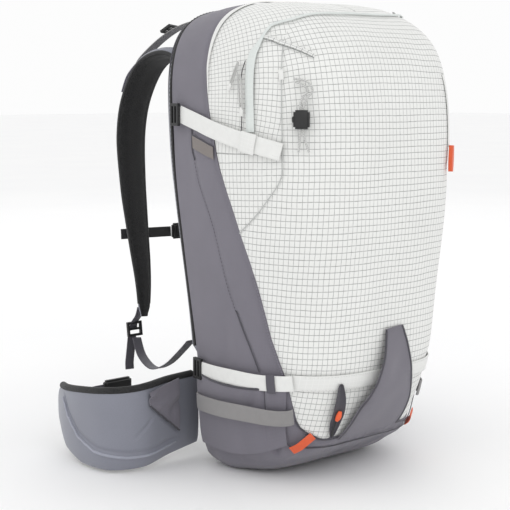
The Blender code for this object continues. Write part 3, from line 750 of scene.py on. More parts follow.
def stitch_paint(name, base):
    paint = Paint(name, 0.7)
    x, y, z, place = paint.body()
    twist = paint.speckle(place, 1800.0, 1.0)
    paint.feed("Base Color", paint.mix(twist, base, shade(base, 0.7)))
    paint.bump(twist, 0.0001, 0.5)
    return paint.material


WHITE_RIPSTOP = ripstop_paint("white_ripstop", WHITE, THREAD, RIPSTOP_ACROSS, RIPSTOP_DOWN, 0.82)
GREY_CLOTH = woven_paint("grey_cloth", GREY)
LOOP_CLOTH = woven_paint("loop_cloth", shade(GREY, 0.92), stripe=0.0030)
DARK_CLOTH = woven_paint("dark_cloth", DARK_GREY)
WHITE_TAPE = webbing_paint("white_tape", shade(WHITE, 1.0))
WHITE_SMOOTH = woven_paint("white_smooth", shade(WHITE, 0.97), fleck=0.03, roughness=0.5)
GREY_WEB = webbing_paint("grey_webbing", WEB_GREY)
DARK_WEB = webbing_paint("dark_webbing", shade(DARK_GREY, 1.5))
BLACK_WEB = webbing_paint("black_webbing", shade(BLACK, 1.3))
FOAM = foam_paint("foam_knit", FOAM_GREY)
MESH = mesh_paint("spacer_mesh", BLACK)
PLASTIC = plastic_paint("black_plastic", BLACK)
ORANGE_PLASTIC = plastic_paint("orange_plastic", ORANGE, 0.5)
ORANGE_TAPE = webbing_paint("orange_tape", ORANGE)
# Cord greyed below white, with a darker stripe: painted shade standing in for the shadows on the pull cords.
WHITE_CORD_PAINTED_SHADE = cord_paint("white_cord_painted_shade", shade(WHITE, 0.80), shade(WHITE, 0.50))
ROD_METAL = metal_paint("drawn_aluminium", METAL)
WHITE_THREAD = stitch_paint("white_thread", shade(WHITE, 0.9))
GREY_THREAD = stitch_paint("grey_thread", shade(GREY, 1.35))
DARK_THREAD = stitch_paint("dark_thread", shade(DARK_GREY, 0.5))


# ---------------------------------------------------------------- camera-side cords first

CORD_RADIUS = 0.0013
CORD_SPREAD = 0.0018
LOCK_PLACE = (-0.1265, 0.436)
LOCK_LIFT = 0.0078
BORE_FLOOR = 0.0046
BUTTON_STROKE = 0.0012
LOCK_REACH = 0.0142


def lock_frame():
    """The lock's middle, and its ways across, out of the bag and up along it."""
    place, out = front_point(*LOCK_PLACE)
    side = out.cross(Vector((0, 0, 1))).normalized()
    return place + out * LOCK_LIFT, side, out, side.cross(out).normalized()


def cord_route(step):
    """From the tab's eye, out in a small bow, down through the lock to a free tail."""
    shift = 0.0012 * step
    above = [(-0.1290, 0.4790 + shift * 1.7, 0.0040), (-0.1225 + shift * 1.4, 0.4760 + shift * 1.4, 0.0052),
             (-0.1190 + shift * 1.4, 0.4680, 0.0062 + 0.0012 * step), (-0.1232 + shift * 1.4, 0.4600, 0.0072)]
    below = [(-0.1262 + shift * 2, 0.4080, 0.0060), (-0.1258 + shift * 3, 0.4000, 0.0045)]
    centre, side, out, up = lock_frame()
    through = [centre - side * CORD_SPREAD * step + up * rise for rise in (LOCK_REACH, 0.0, -LOCK_REACH)]
    return [on_front(*spot) for spot in above] + through + [on_front(*spot) for spot in below]


def cord_curve(name, points, radius):
    """A cord drawn as a curve with round thickness."""
    data = bpy.data.curves.new(name, "CURVE")
    data.dimensions = "3D"
    data.bevel_depth = radius
    data.bevel_resolution = 4
    data.use_fill_caps = True
    line = data.splines.new("POLY")
    line.points.add(len(points) - 1)
    for spot, place in zip(line.points, points):
        spot.co = (*place, 1.0)
    thing = bpy.data.objects.new(name, data)
    bpy.context.scene.collection.objects.link(thing)
    return thing


def tool_cord(letter, step):
    node = "tool_cord_" + letter
    path = smooth_path(cord_route(step), 56)
    thing = cord_curve("look_" + node, path, CORD_RADIUS)
    dress(thing, CURVE_CORD_PAINTED_SHADE, "bag", node, angle=0)
    tuple(path[0])
    path_length(path)


# Cord greyed below white, with a darker stripe: painted shade standing in for the cord's shadows.
CURVE_CORD_PAINTED_SHADE = cord_object_paint("braided_cord_painted_shade", shade(WHITE, 0.80), shade(WHITE, 0.48))
tool_cord("a", -1)
tool_cord("b", 1)


# ---------------------------------------------------------------- white shell

def fold(place, across, along, strength):
    """Soft folds: long along the seam way, short across it."""
    value = noise.noise(Vector((place.x * across, place.y * across, place.z * along)))
    return -strength * max(value, 0.0) ** 1.5


def strap_pinch(place):
    """The tight straps and the front band draw the cloth in."""
    pinch = 0.0
    if place.x * place.x > 0.008:
        line = 0.424 - 0.36 * (0.02 - place.y) if place.y < 0.02 else 0.424
        pinch += math.exp(-((place.z - line) / 0.016) ** 2) * 0.0009
    pinch += math.exp(-((place.z - 0.130) / 0.013) ** 2) * 0.0010
    return -pinch


def shell_relief(turn, forward, place, edge):
    dip = math.exp(-(abs(forward - edge) * 0.30 / 0.0030) ** 2) * 0.0007
    slow = noise.noise(place * 9.0) * 0.0016 - 0.0012
    ripple = fold(place + Vector((2.0, 0.0, 5.0)), 26.0, 9.0, 0.0022)
    low = ease((0.20 - place.z) / 0.10)
    crumple = fold(place + Vector((7.0, 1.0, 0.0)), 55.0, 40.0, 0.0030) * low
    top = ease((place.z - 0.46) / 0.08)
    billow = noise.noise(place * 18.0 + Vector((4.0, 4.0, 4.0))) * 0.0010 * top
    return slow + ripple + crumple + billow + strap_pinch(place) - dip


def grid_tilt(z):
    """How far the side cloth's grid is turned: it follows the upper strap above it."""
    return -0.05 + 0.31 * ease((z - 0.385) / 0.06)


def gusset_cloth(turn, forward):
    u, v = cloth_place(turn, forward)
    seam_u, seam_v = cloth_place(turn, corner_seam(turn))
    back = math.hypot(u - seam_u, v - seam_v)
    side = -1.0 if turn < 0 else 1.0
    lean = grid_tilt(v)
    return u + side * 0.004 + side * lean * (v - 0.40) * 0.6, v - lean * back


def skin(name, turns, span, across, along, relief, cloth, power=1.0, thick=CLOTH):
    """Cloth on the bag between two forward limits, over a range of turns."""

    def spot(u, v):
        turn = turns[0] + (turns[1] - turns[0]) * v
        start, end = span(turn)
        return turn, start + (end - start) * u ** power

    def place(u, v):
        turn, forward = spot(u, v)
        normal = bag_normal(turn, forward)
        if forward > 0.985:
            normal = Vector((0.0, normal.y, normal.z)).normalized()
        here = bag_point(turn, forward)
        return here + normal * relief(turn, forward, here)

    thing = grid(name, across, along, place, lambda u, v: cloth(*spot(u, v)))
    merge(thing, 0.0003)
    face_out(thing, (0.0, 0.0, 0.28))
    if thick:
        thicken(thing, thick)
    return thing


TURN_END = 0.9995


def shell_front():
    def relief(turn, forward, place):
        return shell_relief(turn, forward, place, corner_seam(turn))

    thing = skin("shell_front", (-TURN_END, TURN_END), lambda turn: (corner_seam(turn), 1.0),
                 90, 420, relief, cloth_place)
    dress(thing, WHITE_RIPSTOP, "bag", "front_panel", angle=80)


def shell_gusset(side):
    """Side of the white shell, from the grey panel to the corner seam, its grid along the strap."""

    def relief(turn, forward, place):
        edges = (corner_seam(turn), white_edge(turn))
        return shell_relief(turn, forward, place, min(edges, key=lambda edge: abs(forward - edge)))

    thing = skin("shell_gusset_" + side_name(side), (side * 0.002, side * 0.524),
                 lambda turn: (white_edge(turn) + 0.0005, corner_seam(turn)), 60, 240, relief, gusset_cloth)
    dress(thing, WHITE_RIPSTOP, "bag", "front_panel", angle=80)


def seam_ridge(name, route, lift, width, paint, node, count=70, arch=0.0006, thick=0.0006):
    """A folded seam or binding on the bag: a narrow arched strip."""
    path, outs = bag_path(route, lift, count, 0.0)
    thing = band(name, path, outs, width, thick, cross=4, arch=arch, bevel=0.0)
    return dress(thing, paint, "bag", node, angle=60)


def stitches(name, path, outs, pitch, size, paint, node, body="bag", offset=0.0):
    """A row of short thread stitches lying on a path."""
    length = path_length(path)
    steps = max(int(length / pitch), 2)
    spots = np.linspace(0.0, 1.0, steps)
    work = bmesh.new()
    for t in spots:
        place = Vector([at_step([p[k] for p in path], t) for k in range(3)])
        ahead = Vector([at_step([p[k] for p in path], min(t + 0.01, 1.0)) for k in range(3)])
        behind = Vector([at_step([p[k] for p in path], max(t - 0.01, 0.0)) for k in range(3)])
        way = (ahead - behind).normalized()
        out = Vector([at_step([o[k] for o in outs], t) for k in range(3)]).normalized()
        side = way.cross(out).normalized()
        out = side.cross(way)
        turn = Matrix((way, side, out)).transposed().to_4x4()
        place = place + side * offset + out * size * 0.15
        thread = Matrix.Diagonal((pitch * 0.33, size * 0.5, size * 0.38, 1.0))
        shape = Matrix.Translation(place) @ turn @ thread
        bmesh.ops.create_icosphere(work, subdivisions=1, radius=1.0, matrix=shape)
    mesh = bpy.data.meshes.new(name)
    work.to_mesh(mesh)
    work.free()
    thing = bpy.data.objects.new(name, mesh)
    bpy.context.scene.collection.objects.link(thing)
    return dress(thing, paint, body, node, angle=80)


def bag_stitches(name, route, lift, paint, node, pitch=0.0036, size=0.0007, offset=0.0):
    path, outs = bag_path(route, lift, 60, 0.0)
    return stitches(name, path, outs, pitch, size, paint, node, offset=offset)


def shell_seams():
    for side in (-1, 1):
        label = side_name(side)
        route = [(side * turn, corner_seam(turn)) for turn in np.linspace(0.206, 0.523, 30)]
        seam_ridge("corner_seam_" + label, route, -0.0004, 0.0012, SEAM_CLOTH, "front_panel", 140,
                   arch=0.0002)
        edge = [(side * turn, white_edge(turn) + 0.010) for turn in np.linspace(0.004, 0.290, 24)]
        seam_ridge("white_edge_" + label, edge, 0.0003, lambda t: 0.0090 - 0.0075 * ease((t - 0.50) / 0.50),
                   WHITE_SMOOTH, "front_panel", 150, arch=0.0005)
        bars = [(side * turn, white_edge(turn) - 0.001) for turn in np.linspace(0.60, 0.776, 12)]
        bag_stitches("edge_bars_" + label, bars, 0.0003, GREY_THREAD, "front_panel", 0.0034, 0.0024)
    lid = [(-0.207, 0.374), (-0.208, 0.400), (-0.210, 0.431), (-0.210, 0.462), (-0.210, 0.488),
           (-0.210, 0.530)]
    seam_ridge("lid_edge", lid, 0.0002, 0.0036, WHITE_RIPSTOP, "front_panel", 60, arch=0.0006)
    # A dark strip beside the lid edge: painted shadow under the lid's fold.
    shadow = [(turn - 0.0042, forward) for turn, forward in lid]
    seam_ridge("lid_painted_shadow", shadow, 0.0003, 0.0009, LID_SHADE, "front_panel", 60, arch=0.0002)
    bag_stitches("lid_stitch", [(turn + 0.010, forward) for turn, forward in lid], 0.0002, WHITE_THREAD,
                 "front_panel", 0.0036, 0.0006)


# ---------------------------------------------------------------- grey panels

def grey_relief(turn, forward, place, edge):
    dip = math.exp(-(abs(forward - edge) * 0.30 / 0.004) ** 2) * 0.0011
    slow = noise.noise(place * 10.0 + Vector((3.0, 0.0, 0.0))) * 0.0014 - 0.0010
    ripple = fold(place, 30.0, 12.0, 0.0016)
    return slow + ripple - dip


SIDE_DART = ((0.335, 0.112), (0.375, 0.107), (0.395, 0.119), (0.432, 0.131), (0.462, 0.150), (0.518, 0.186),
             (0.590, 0.213), (0.630, 0.231), (0.668, 0.256), (0.702, 0.281), (0.732, 0.306), (0.776, 0.341))


def dart_forward(turn):
    return float(np.interp(abs(turn), [t for t, f in SIDE_DART], [f for t, f in SIDE_DART]))


def side_panel(side):
    def relief(turn, forward, place):
        depth_of = grey_relief(turn, forward, place, white_edge(turn))
        if abs(turn) > 0.33:
            depth_of -= math.exp(-((forward - dart_forward(turn)) * 0.30 / 0.003) ** 2) * 0.0008
        return depth_of

    label = side_name(side)
    node = "side_panel_" + label
    thing = skin("look_" + node, (side * 0.002, side * SIDE_END),
                 lambda turn: (0.0, white_edge(turn) - 0.0005), 60, 240, relief, cloth_place)
    dress(thing, GREY_CLOTH, "bag", node, angle=80)
    dart = [(side * turn, forward) for turn, forward in SIDE_DART]
    seam_ridge("side_dart_upper_" + label, dart[:3], -0.0004, 0.0016, DARK_CLOTH, node, 40, arch=0.0002)
    seam_ridge("side_dart_lower_" + label, dart[8:], -0.0004, 0.0016, DARK_CLOTH, node, 60, arch=0.0002)
    bag_stitches("side_dart_stitch_" + label, dart[2:9], 0.0001, DARK_THREAD, node, 0.0042, 0.0009)
    edge = [(side * turn, white_edge(turn) - 0.010) for turn in np.linspace(0.02, 0.77, 26)]
    bag_stitches("side_edge_stitch_" + label, edge, 0.0001, GREY_THREAD, node, 0.0038, 0.0006)

    def patch_place(u, v):
        forward = 0.116 + 0.100 * u
        turn = side * (0.353 + 0.018 * u + 0.021 * v)
        return bag_point(turn, forward) + bag_normal(turn, forward) * (0.0010 + 0.0006 * u)

    patch = grid("side_patch_" + label, 12, 12, patch_place, lambda u, v: (u * 0.03, v * 0.016))
    face_out(patch, (0.0, 0.0, 0.3))
    thicken(patch, 0.0006)
    dress(patch, PATCH_MESH, "bag", node, angle=60)
    hem = [(side * (0.3525 + 0.018 * u), 0.116 + 0.100 * u) for u in (0.0, 0.5, 1.0)]
    seam_ridge("side_patch_hem_" + label, hem, 0.0010, 0.0016, DARK_CLOTH, node, 20, arch=0.0003)


def base_relief(turn, forward, place):
    relief = grey_relief(turn, forward, place, white_edge(turn))
    low = ease((0.085 - place.z) / 0.03) * ease((place.z - 0.012) / 0.02)
    drop = Vector((place.x * 24.0, place.y * 24.0, place.z * 9.0 + 3.0))
    relief -= max(noise.noise(drop), 0.0) ** 1.3 * 0.0055 * low
    foot = ease((0.045 - place.z) / 0.03)
    relief -= 0.0050 * ease((forward - 0.08) / 0.15) * ease((0.80 - forward) / 0.2) * foot
    drape = noise.noise(Vector((place.x * 34.0, place.y * 34.0, place.z * 20.0)))
    relief -= abs(drape) ** 0.8 * 0.0030 * ease((0.075 - place.z) / 0.02) * ease((place.z - 0.006) / 0.015)
    pull = math.exp(-((forward - 0.415 + (abs(turn) - 0.852) * 0.9) * 0.30 / 0.004) ** 2)
    relief -= pull * 0.0050 * ease((0.078 - place.z) / 0.012) * ease((place.z - 0.026) / 0.014)
    return relief


# Seams of the base at its front corner and under the shell, as turn and forward.
BASE_FRONT_SEAM = ((0.842, 0.396), (0.848, 0.411), (0.854, 0.421), (0.867, 0.438), (0.876, 0.458))
BASE_UNDER_SEAM = ((0.883, 0.480), (0.888, 0.506), (0.908, 0.545), (0.950, 0.556), (0.999, 0.556))


def base_panel():
    for side in (-1, 1):
        thing = skin("look_base_" + side_name(side), (side * BASE_START, side * TURN_END),
                     lambda turn: (0.0, white_edge(turn) - 0.0005), 120, 150, base_relief, cloth_place)
        dress(thing, GREY_CLOTH, "bag", "base_panel", angle=80)
        rim_route = [(side * turn, white_edge(turn) - 0.002) for turn in np.linspace(0.845, 0.999, 14)]
        seam_ridge("base_edge_" + side_name(side), rim_route, 0.0, 0.0024, DARK_CLOTH, "base_panel", 60)
        front_seam = [(side * turn, forward) for turn, forward in BASE_FRONT_SEAM]
        seam_ridge("base_seam_" + side_name(side), front_seam, 0.0006, 0.0026, DARK_CLOTH, "base_panel", 24)
        underline = [(side * turn, forward) for turn, forward in BASE_UNDER_SEAM]
        seam_ridge("base_under_" + side_name(side), underline, -0.0003, 0.0020, DARK_CLOTH, "base_panel", 60)


# ---------------------------------------------------------------- side pocket and ski band

POCKET_FRONT = 0.446
POCKET_LIFT = 0.0085


def pocket_mouth(forward):
    return 0.7935 + 0.0035 * math.sin(math.pi * min(max(forward / POCKET_FRONT, 0.0), 1.0)) ** 0.8


def side_pocket(side):
    """Cloth pouch over the corner, open at its top under the lower strap."""
    label = side_name(side)
    node = "side_pocket_" + label
    foot = 0.872

    def lift(forward, down):
        across = min(max(forward / POCKET_FRONT, 0.0), 1.0)
        belly = math.sin(math.pi * across) ** 0.7 if 0.0 < across < 1.0 else 0.0
        fall = 1.0 - ease(down)
        pleat = math.exp(-((forward - 0.368) / 0.008) ** 2) * (1.0 - down) * 0.0035
        crease = math.exp(-((forward - 0.335 + 0.05 * down) / 0.022) ** 2)
        sag = crease * 0.0032 * math.sin(math.pi * min(down * 1.3, 1.0))
        return 0.0014 + POCKET_LIFT * fall * belly - pleat - sag * fall

    def place(u, v):
        forward = 0.004 + (POCKET_FRONT - 0.004) * u
        turn = side * (pocket_mouth(forward) + (foot - pocket_mouth(forward)) * v)
        raised = lift(forward, v)
        here = bag_point(turn, forward)
        raised += fold(here + Vector((1.0, 5.0, 0.0)), 40.0, 22.0, 0.0020) * (1.0 - v * 0.6)
        return here + bag_normal(turn, forward) * max(raised, 0.0012)

    def cloth(u, v):
        return u * 0.20, v * 0.075

    thing = grid("look_" + node, 110, 48, place, cloth)
    face_out(thing, (0.0, 0.0, 0.10))
    thicken(thing, 0.0009)
    dress(thing, GREY_CLOTH, "bag", node, angle=80)

    path = [place(t, 0.0) + bag_normal(side * 0.80, t * POCKET_FRONT) * 0.0005
            for t in np.linspace(0.0, 1.0, 60)]
    outs = [bag_normal(side * 0.80, t * POCKET_FRONT) for t in np.linspace(0.0, 1.0, 60)]
    hem = band("pocket_hem_" + label, path, outs, 0.0030, 0.0012, cross=4, arch=0.0006, bevel=0.0)
    dress(hem, DARK_CLOTH, "bag", node, angle=60)
    down = [place(0.827 + 0.02 * t, t) for t in np.linspace(0.0, 0.40, 20)]
    ways = [bag_normal(side * 0.82, 0.366) for _ in down]
    pleat = band("pocket_pleat_" + label, down, ways, 0.0020, 0.0008, cross=2, arch=0.0002, bevel=0.0)
    dress(pleat, DARK_CLOTH, "bag", node, angle=60)


def ski_band(side):
    node = "ski_band_" + side_name(side)
    route = [(side * 0.828, 0.012), (side * 0.8235, 0.18), (side * 0.824, 0.33), (side * 0.836, 0.478)]
    path, outs = bag_path(route, lambda t: 0.0024 + 0.0150 * math.sin(math.pi * t) ** 0.6, 60)
    thing = band("look_" + node, path, outs, 0.0200, WEBBING, cross=8, arch=0.0003)
    dress(thing, GREY_WEB, "bag", node, angle=50)
    for label, start, stop in (("rear", 0, 5), ("front", 54, 59)):
        bars = path[start:stop + 1]
        for offset in (-0.0075, 0.0075):
            stitches(node + label + str(offset), bars, outs[start:stop + 1], 0.0016, 0.0006, GREY_THREAD,
                     node, offset=offset)


# ---------------------------------------------------------------- straps on the bag

def upper_strap(side):
    label = side_name(side)
    node = "upper_strap_" + label
    route = [(side * 0.320, 0.060), (side * 0.332, 0.150), (side * 0.342, 0.215), (side * 0.357, 0.320),
             (side * 0.370, 0.415), (side * 0.375, 0.449)]
    path, outs = bag_path(route, lambda t: 0.0018 + 0.0010 * math.sin(math.pi * t), 60)
    thing = band("look_" + node, path, outs, 0.0205, WEBBING, cross=8, arch=0.0003)
    dress(thing, WHITE_TAPE, "bag", node, angle=50)
    lifts = [0.0022 + 0.0010 * math.sin(math.pi * k / 7) for k in range(8)]
    wrap = [p + o * lift for p, o, lift in zip(path[41:49], outs[41:49], lifts)]
    keeper = band("upper_keeper_" + label, wrap, outs[41:49], 0.0240, 0.0018, cross=8, arch=0.0006)
    dress(keeper, WHITE_SMOOTH, "bag", node, angle=50)
    for name, offset in (("upper_stitch_", 0.006), ("upper_stitch_low_", -0.006)):
        stitches(name + label, path[56:60], outs[56:60], 0.0015, 0.0006, WHITE_THREAD, node, offset=offset)


def lower_strap(side):
    label = side_name(side)
    node = "lower_strap_" + label
    route = [(side * 0.789, 0.045), (side * 0.788, 0.15), (side * 0.787, 0.25), (side * 0.788, 0.37),
             (side * 0.788, 0.470)]
    path, outs = bag_path(route, lambda t: 0.0040 + 0.0030 * math.sin(math.pi * t), 60)
    thing = band("look_" + node, path, outs, 0.0190, WEBBING, cross=8, arch=0.0003)
    dress(thing, WHITE_TAPE, "bag", node, angle=50)
    spots = path[47:52]
    ring = band("lower_keeper_" + label, [p + o * 0.0018 for p, o in zip(spots, outs[47:52])], outs[47:52],
                0.0225, 0.0012, cross=8, arch=0.0006)
    dress(ring, DARK_WEB, "bag", node, angle=50)


def ladder_lock(name, place, along, out, width, length, thick, bar=0.0034):
    """A moulded buckle: three bars across two rails, worked from a cube in edit mode."""
    along = Vector(along).normalized()
    out = Vector(out)
    out = (out - along * along.dot(out)).normalized()
    side = along.cross(out)
    turn = Matrix((side, along, out)).transposed().to_4x4()
    parts = []
    pieces = [(0.0, -length / 2 + bar / 2, width, bar), (0.0, length / 2 - bar / 2, width, bar),
              (0.0, 0.0, width, bar * 0.9),
              (-width / 2 + bar / 2, 0.0, bar, length), (width / 2 - bar / 2, 0.0, bar, length)]
    for x, y, wide, tall in pieces:
        bpy.ops.object.select_all(action="DESELECT")
        bpy.ops.mesh.primitive_cube_add(size=1.0)
        part = bpy.context.object
        part.data.transform(Matrix.Translation((x, y, 0.0)) @ Matrix.Diagonal((wide, tall, thick, 1.0)))
        parts.append(part)
    thing = join(parts, name)
    apply_modifier(thing, "REMESH", mode="VOXEL", voxel_size=0.00035)
    apply_modifier(thing, "SMOOTH", factor=0.6, iterations=6)
    thing.data.transform(Matrix.Translation(place) @ turn)
    return thing


def bag_buckle(node, turn, forward, ahead, width):
    place = on_bag(turn, forward, 0.0058)
    along = on_bag(turn, ahead, 0.0058) - place
    thing = ladder_lock("look_" + node, place, along, bag_normal(turn, forward), width, 0.0165, 0.0042)
    dress(thing, PLASTIC, "bag", node, angle=60)


def front_band():
    """Smooth band sewn across the front between the two lower straps."""
    low = 0.1205
    high = 0.1395

    def place(u, v):
        x = -0.1165 + 0.233 * v
        z = low + (high - low) * u
        return on_front(x, z, 0.0006 + 0.0005 * math.sin(math.pi * u))

    thing = grid("look_front_band", 8, 150, place, lambda u, v: (u * 0.018, v * 0.21))
    face_out(thing, (0.0, 0.0, 0.13))
    thicken(thing, 0.0008, 0.0002)
    dress(thing, WHITE_SMOOTH, "bag", "front_band", angle=60)
    for row, z in enumerate((low + 0.0016, high - 0.0016)):
        path = [on_front(x, z, 0.0014) for x in np.linspace(-0.108, 0.108, 60)]
        outs = [front_point(x, z)[1] for x in np.linspace(-0.108, 0.108, 60)]
        stitches("band_stitch_" + str(row), path, outs, 0.0036, 0.0006, WHITE_THREAD, "front_band")


# ---------------------------------------------------------------- carry sleeve, tool keeper and tabs

LOOP_Z = (0.189, 0.183, 0.168, 0.150, 0.128, 0.113, 0.100, 0.082, 0.066, 0.056)
LOOP_LEFT = (-0.011, -0.012, -0.0165, -0.022, -0.031, -0.038, -0.047, -0.052, -0.055, -0.056)
LOOP_RIGHT = (0.018, 0.021, 0.028, 0.034, 0.041, 0.048, 0.050, 0.051, 0.050, 0.048)
LOOP_LIFT = (0.0012, 0.0028, 0.0075, 0.0105, 0.0122, 0.0120, 0.0105, 0.0070, 0.0034, 0.0012)


def smooth_step(values, t):
    """Reads a table with rounded corners between its entries."""
    width = 0.04
    shifts = (-width, -width / 2, 0.0, width / 2, width)
    return sum(at_step(values, min(max(t + shift, 0.0), 1.0)) for shift in shifts) / 5


def carry_loop():
    def lift(u, v):
        return smooth_step(LOOP_LIFT, v) * (1.0 - 0.70 * ease(u)) + 0.0008

    def place(u, v):
        left = smooth_step(LOOP_LEFT, v)
        right = smooth_step(LOOP_RIGHT, v)
        z = at_step(LOOP_Z, v) + 0.002 * (u - 0.5)
        spot, out = front_point(left + (right - left) * u, z)
        crease = noise.noise(spot * 34.0) * 0.0014 * math.sin(math.pi * v)
        return spot + out * max(lift(u, v) + crease, 0.0012)

    thing = grid("look_carry_loop", 40, 90, place, lambda u, v: (u * 0.065, v * 0.15))
    face_out(thing, (0.0, 0.0, 0.12))
    thicken(thing, 0.0011)
    dress(thing, LOOP_CLOTH, "bag", "carry_loop_front", angle=80)
    for label, u in (("left", 0.02), ("right", 0.98)):
        path = [place(u, t) + front_point(0.0, 0.13)[1] * 0.0003 for t in np.linspace(0.01, 0.99, 60)]
        outs = [Vector((0.0, -1.0, 0.05)).normalized() for _ in path]
        hem = band("loop_hem_" + label, path, outs, 0.0032, 0.0013, cross=4, arch=0.0006, bevel=0.0)
        dress(hem, DARK_CLOTH, "bag", "carry_loop_front", angle=60)
        inset = 0.075 if u < 0.5 else 0.925
        line = [place(inset, t) for t in np.linspace(0.03, 0.97, 60)]
        stitches("loop_stitch_" + label, line, outs, 0.0038, 0.0007, GREY_THREAD, "carry_loop_front")


KEEPER_X = (-0.0735, -0.0700, -0.0685, -0.0690, -0.0680)


def tool_keeper():
    """Leaf-shaped dark keeper."""

    def place(u, v):
        x = smooth_step(KEEPER_X, v)
        z = 0.129 - 0.069 * v
        wide = 0.0022 + 0.0105 * math.sin(math.pi * min(v * 1.05, 1.0)) ** 0.7
        spot, out = front_point(x + (u - 0.5) * wide, z)
        dish = 0.0020 * (abs(u - 0.5) * 2) ** 2
        return spot + out * (0.0024 + dish + 0.0030 * math.sin(math.pi * v) ** 2)

    thing = grid("look_tool_sleeve", 10, 50, place, lambda u, v: (u * 0.013, v * 0.068))
    face_out(thing, (0.0, 0.0, 0.09))
    thicken(thing, 0.0012, 0.0002)
    dress(thing, DARK_CLOTH, "bag", "tool_sleeve", angle=60)
    toggle = rod("look_tool_toggle", [on_front(-0.0685, 0.0975, 0.0078), on_front(-0.0690, 0.0915, 0.0088),
                                      on_front(-0.0695, 0.0855, 0.0080)], 0.0027, 14, 24,
                 taper=lambda t: 0.75 + 0.5 * math.sin(math.pi * t))
    dress(toggle, ORANGE_PLASTIC, "bag", "tool_toggle", angle=60)
    tail = rod("tool_cord_tail", [on_front(-0.0695, 0.087, 0.0080), on_front(-0.0695, 0.075, 0.0066),
                                  on_front(-0.0685, 0.064, 0.0044)], 0.0012, 8, 16)
    dress(tail, BLACK_WEB, "bag", "tool_sleeve", angle=60)


def base_tab(side):
    node = "base_tab_" + side_name(side)
    route = [(side * 0.8805, 0.456), (side * 0.8795, 0.490), (side * 0.8775, 0.520), (side * 0.8765, 0.552)]
    path, outs = bag_path(route, lambda t: 0.0012 + 0.0022 * math.sin(math.pi * t), 24)
    thing = band("look_" + node, path, outs, 0.0105, 0.0013, cross=4)
    dress(thing, ORANGE_TAPE, "bag", node, angle=50)


def side_zip_pull():
    top = on_bag(0.372, 0.602, 0.0060)
    foot = on_bag(0.420, 0.606, 0.0062)
    path = [top + (foot - top) * t for t in np.linspace(0.0, 1.0, 18)]
    outs = [bag_normal(0.395, 0.604) for _ in path]
    thing = band("look_side_zip_pull", path, outs, lambda t: 0.0080 + 0.004 * math.sin(math.pi * t), 0.0050,
                 cross=6)
    dress(thing, ORANGE_TAPE, "bag", "side_zip_pull", angle=50)
    garage = [(turn, 0.602) for turn in np.linspace(0.22, 0.375, 12)]
    seam_ridge("side_zip_flap", garage, 0.0000, 0.0075, SEAM_WHITE, "front_panel", 60, arch=0.0006)


# ---------------------------------------------------------------- top zip

TOP_ZIP = ((-0.345, 0.356), (-0.310, 0.356), (-0.257, 0.355), (-0.235, 0.358), (-0.223, 0.367),
           (-0.208, 0.374), (-0.188, 0.383), (-0.175, 0.406), (-0.157, 0.429), (-0.10, 0.458),
           (-0.05, 0.462), (0.0, 0.462), (0.05, 0.460), (0.10, 0.445), (0.14, 0.400),
           (0.165, 0.360), (0.20, 0.340))


def zip_width(t):
    """Wide where the flap hangs on the wearer's left, narrow over the top."""
    return 0.0115 - 0.0075 * ease((t - 0.16) / 0.07)


def top_zip():
    path, outs = bag_path(TOP_ZIP, 0.0010, 150, 0.0)
    flap = band("look_top_zip", path, outs, zip_width, 0.0010, cross=8, arch=0.0014, bevel=0.0)
    dress(flap, WHITE_GARAGE, "bag", "top_zip", angle=60)
    slot = ((-0.245, 0.338), (-0.262, 0.330), (-0.288, 0.330), (-0.315, 0.331), (-0.345, 0.327))
    # A near-black strip along the zip slot: painted shadow.
    seam_ridge("top_zip_slot_painted_shadow", slot, 0.0012, 0.0012, GAP_SHADOW_PAINT, "top_zip", 40, arch=0.0002)
    stitches("top_zip_stitch", path[38:148], outs[38:148], 0.0038, 0.0006, WHITE_THREAD, "top_zip",
             offset=0.0030)


def zip_loop(name, top, foot, node, spread=0.0018):
    """A doubled pull cord with a moulded end."""
    out = bag_normal(-0.29, 0.33) if top.x < 0 else bag_normal(0.17, 0.33)
    way = (foot - top).normalized()
    side = out.cross(way).normalized()
    half = [top + side * spread * 0.4, top + way * 0.008 + side * spread,
            foot - way * 0.006 + side * spread, foot + side * 0.0004]
    other = [p - side * 2 * (p - top).dot(side) for p in half[::-1]]
    loop = rod("look_" + name, half + other, 0.0010, 10, 60)
    dress(loop, WHITE_CORD_PAINTED_SHADE, "bag", node, angle=60)
    knot = rod(name + "_knot", [foot - way * 0.004, foot + way * 0.001, foot + way * 0.006], 0.0020, 12, 14,
               taper=lambda t: 0.7 + 0.45 * math.sin(math.pi * t))
    dress(knot, WHITE_TAPE, "bag", node, angle=60)


def zip_pulls():
    zip_loop("zip_pull_left", on_bag(-0.264, 0.329, 0.0048), on_bag(-0.314, 0.337, 0.0054), "zip_pull_left")
    zip_loop("zip_pull_right", on_bag(0.150, 0.345, 0.0050), on_bag(0.190, 0.335, 0.0052), "zip_pull_right")
    zip_loop("zip_pull_rear", on_bag(-0.248, 0.320, 0.0040), on_bag(-0.281, 0.295, 0.0036), "zip_pull_left",
             0.0012)


# ---------------------------------------------------------------- cord lock

def cord_lock():
    barrel = rounded_copy("cord_lock_body", "look_cord_lock_body", 0.0003, 2)
    dress(barrel, PLASTIC, "bag", "cord_lock_body", angle=40)
    centre, side, out, up = lock_frame()
    start = centre + side * (BORE_FLOOR + BUTTON_STROKE + 0.0003)
    cap = rod("look_cord_lock_button", [start, start + side * 0.0046], 0.0036, 32, 12, smooth_line=True,
              taper=lambda t: 1.0 if t < 0.8 else 1.0 - 0.22 * ease((t - 0.8) / 0.2))
    dress(cap, PLASTIC, "lock_button", "cord_lock_button", angle=40)
    tab_path, outs = bag_path([(-0.250, 0.446), (-0.257, 0.449), (-0.264, 0.451)], 0.0014, 12)
    tab = band("cord_tab", tab_path, outs, 0.0060, 0.0012, cross=4, arch=0.0010)
    dress(tab, WHITE_TAPE, "bag", "front_panel", angle=50)


# ---------------------------------------------------------------- back panel

PAD_BOTTOM = 0.142


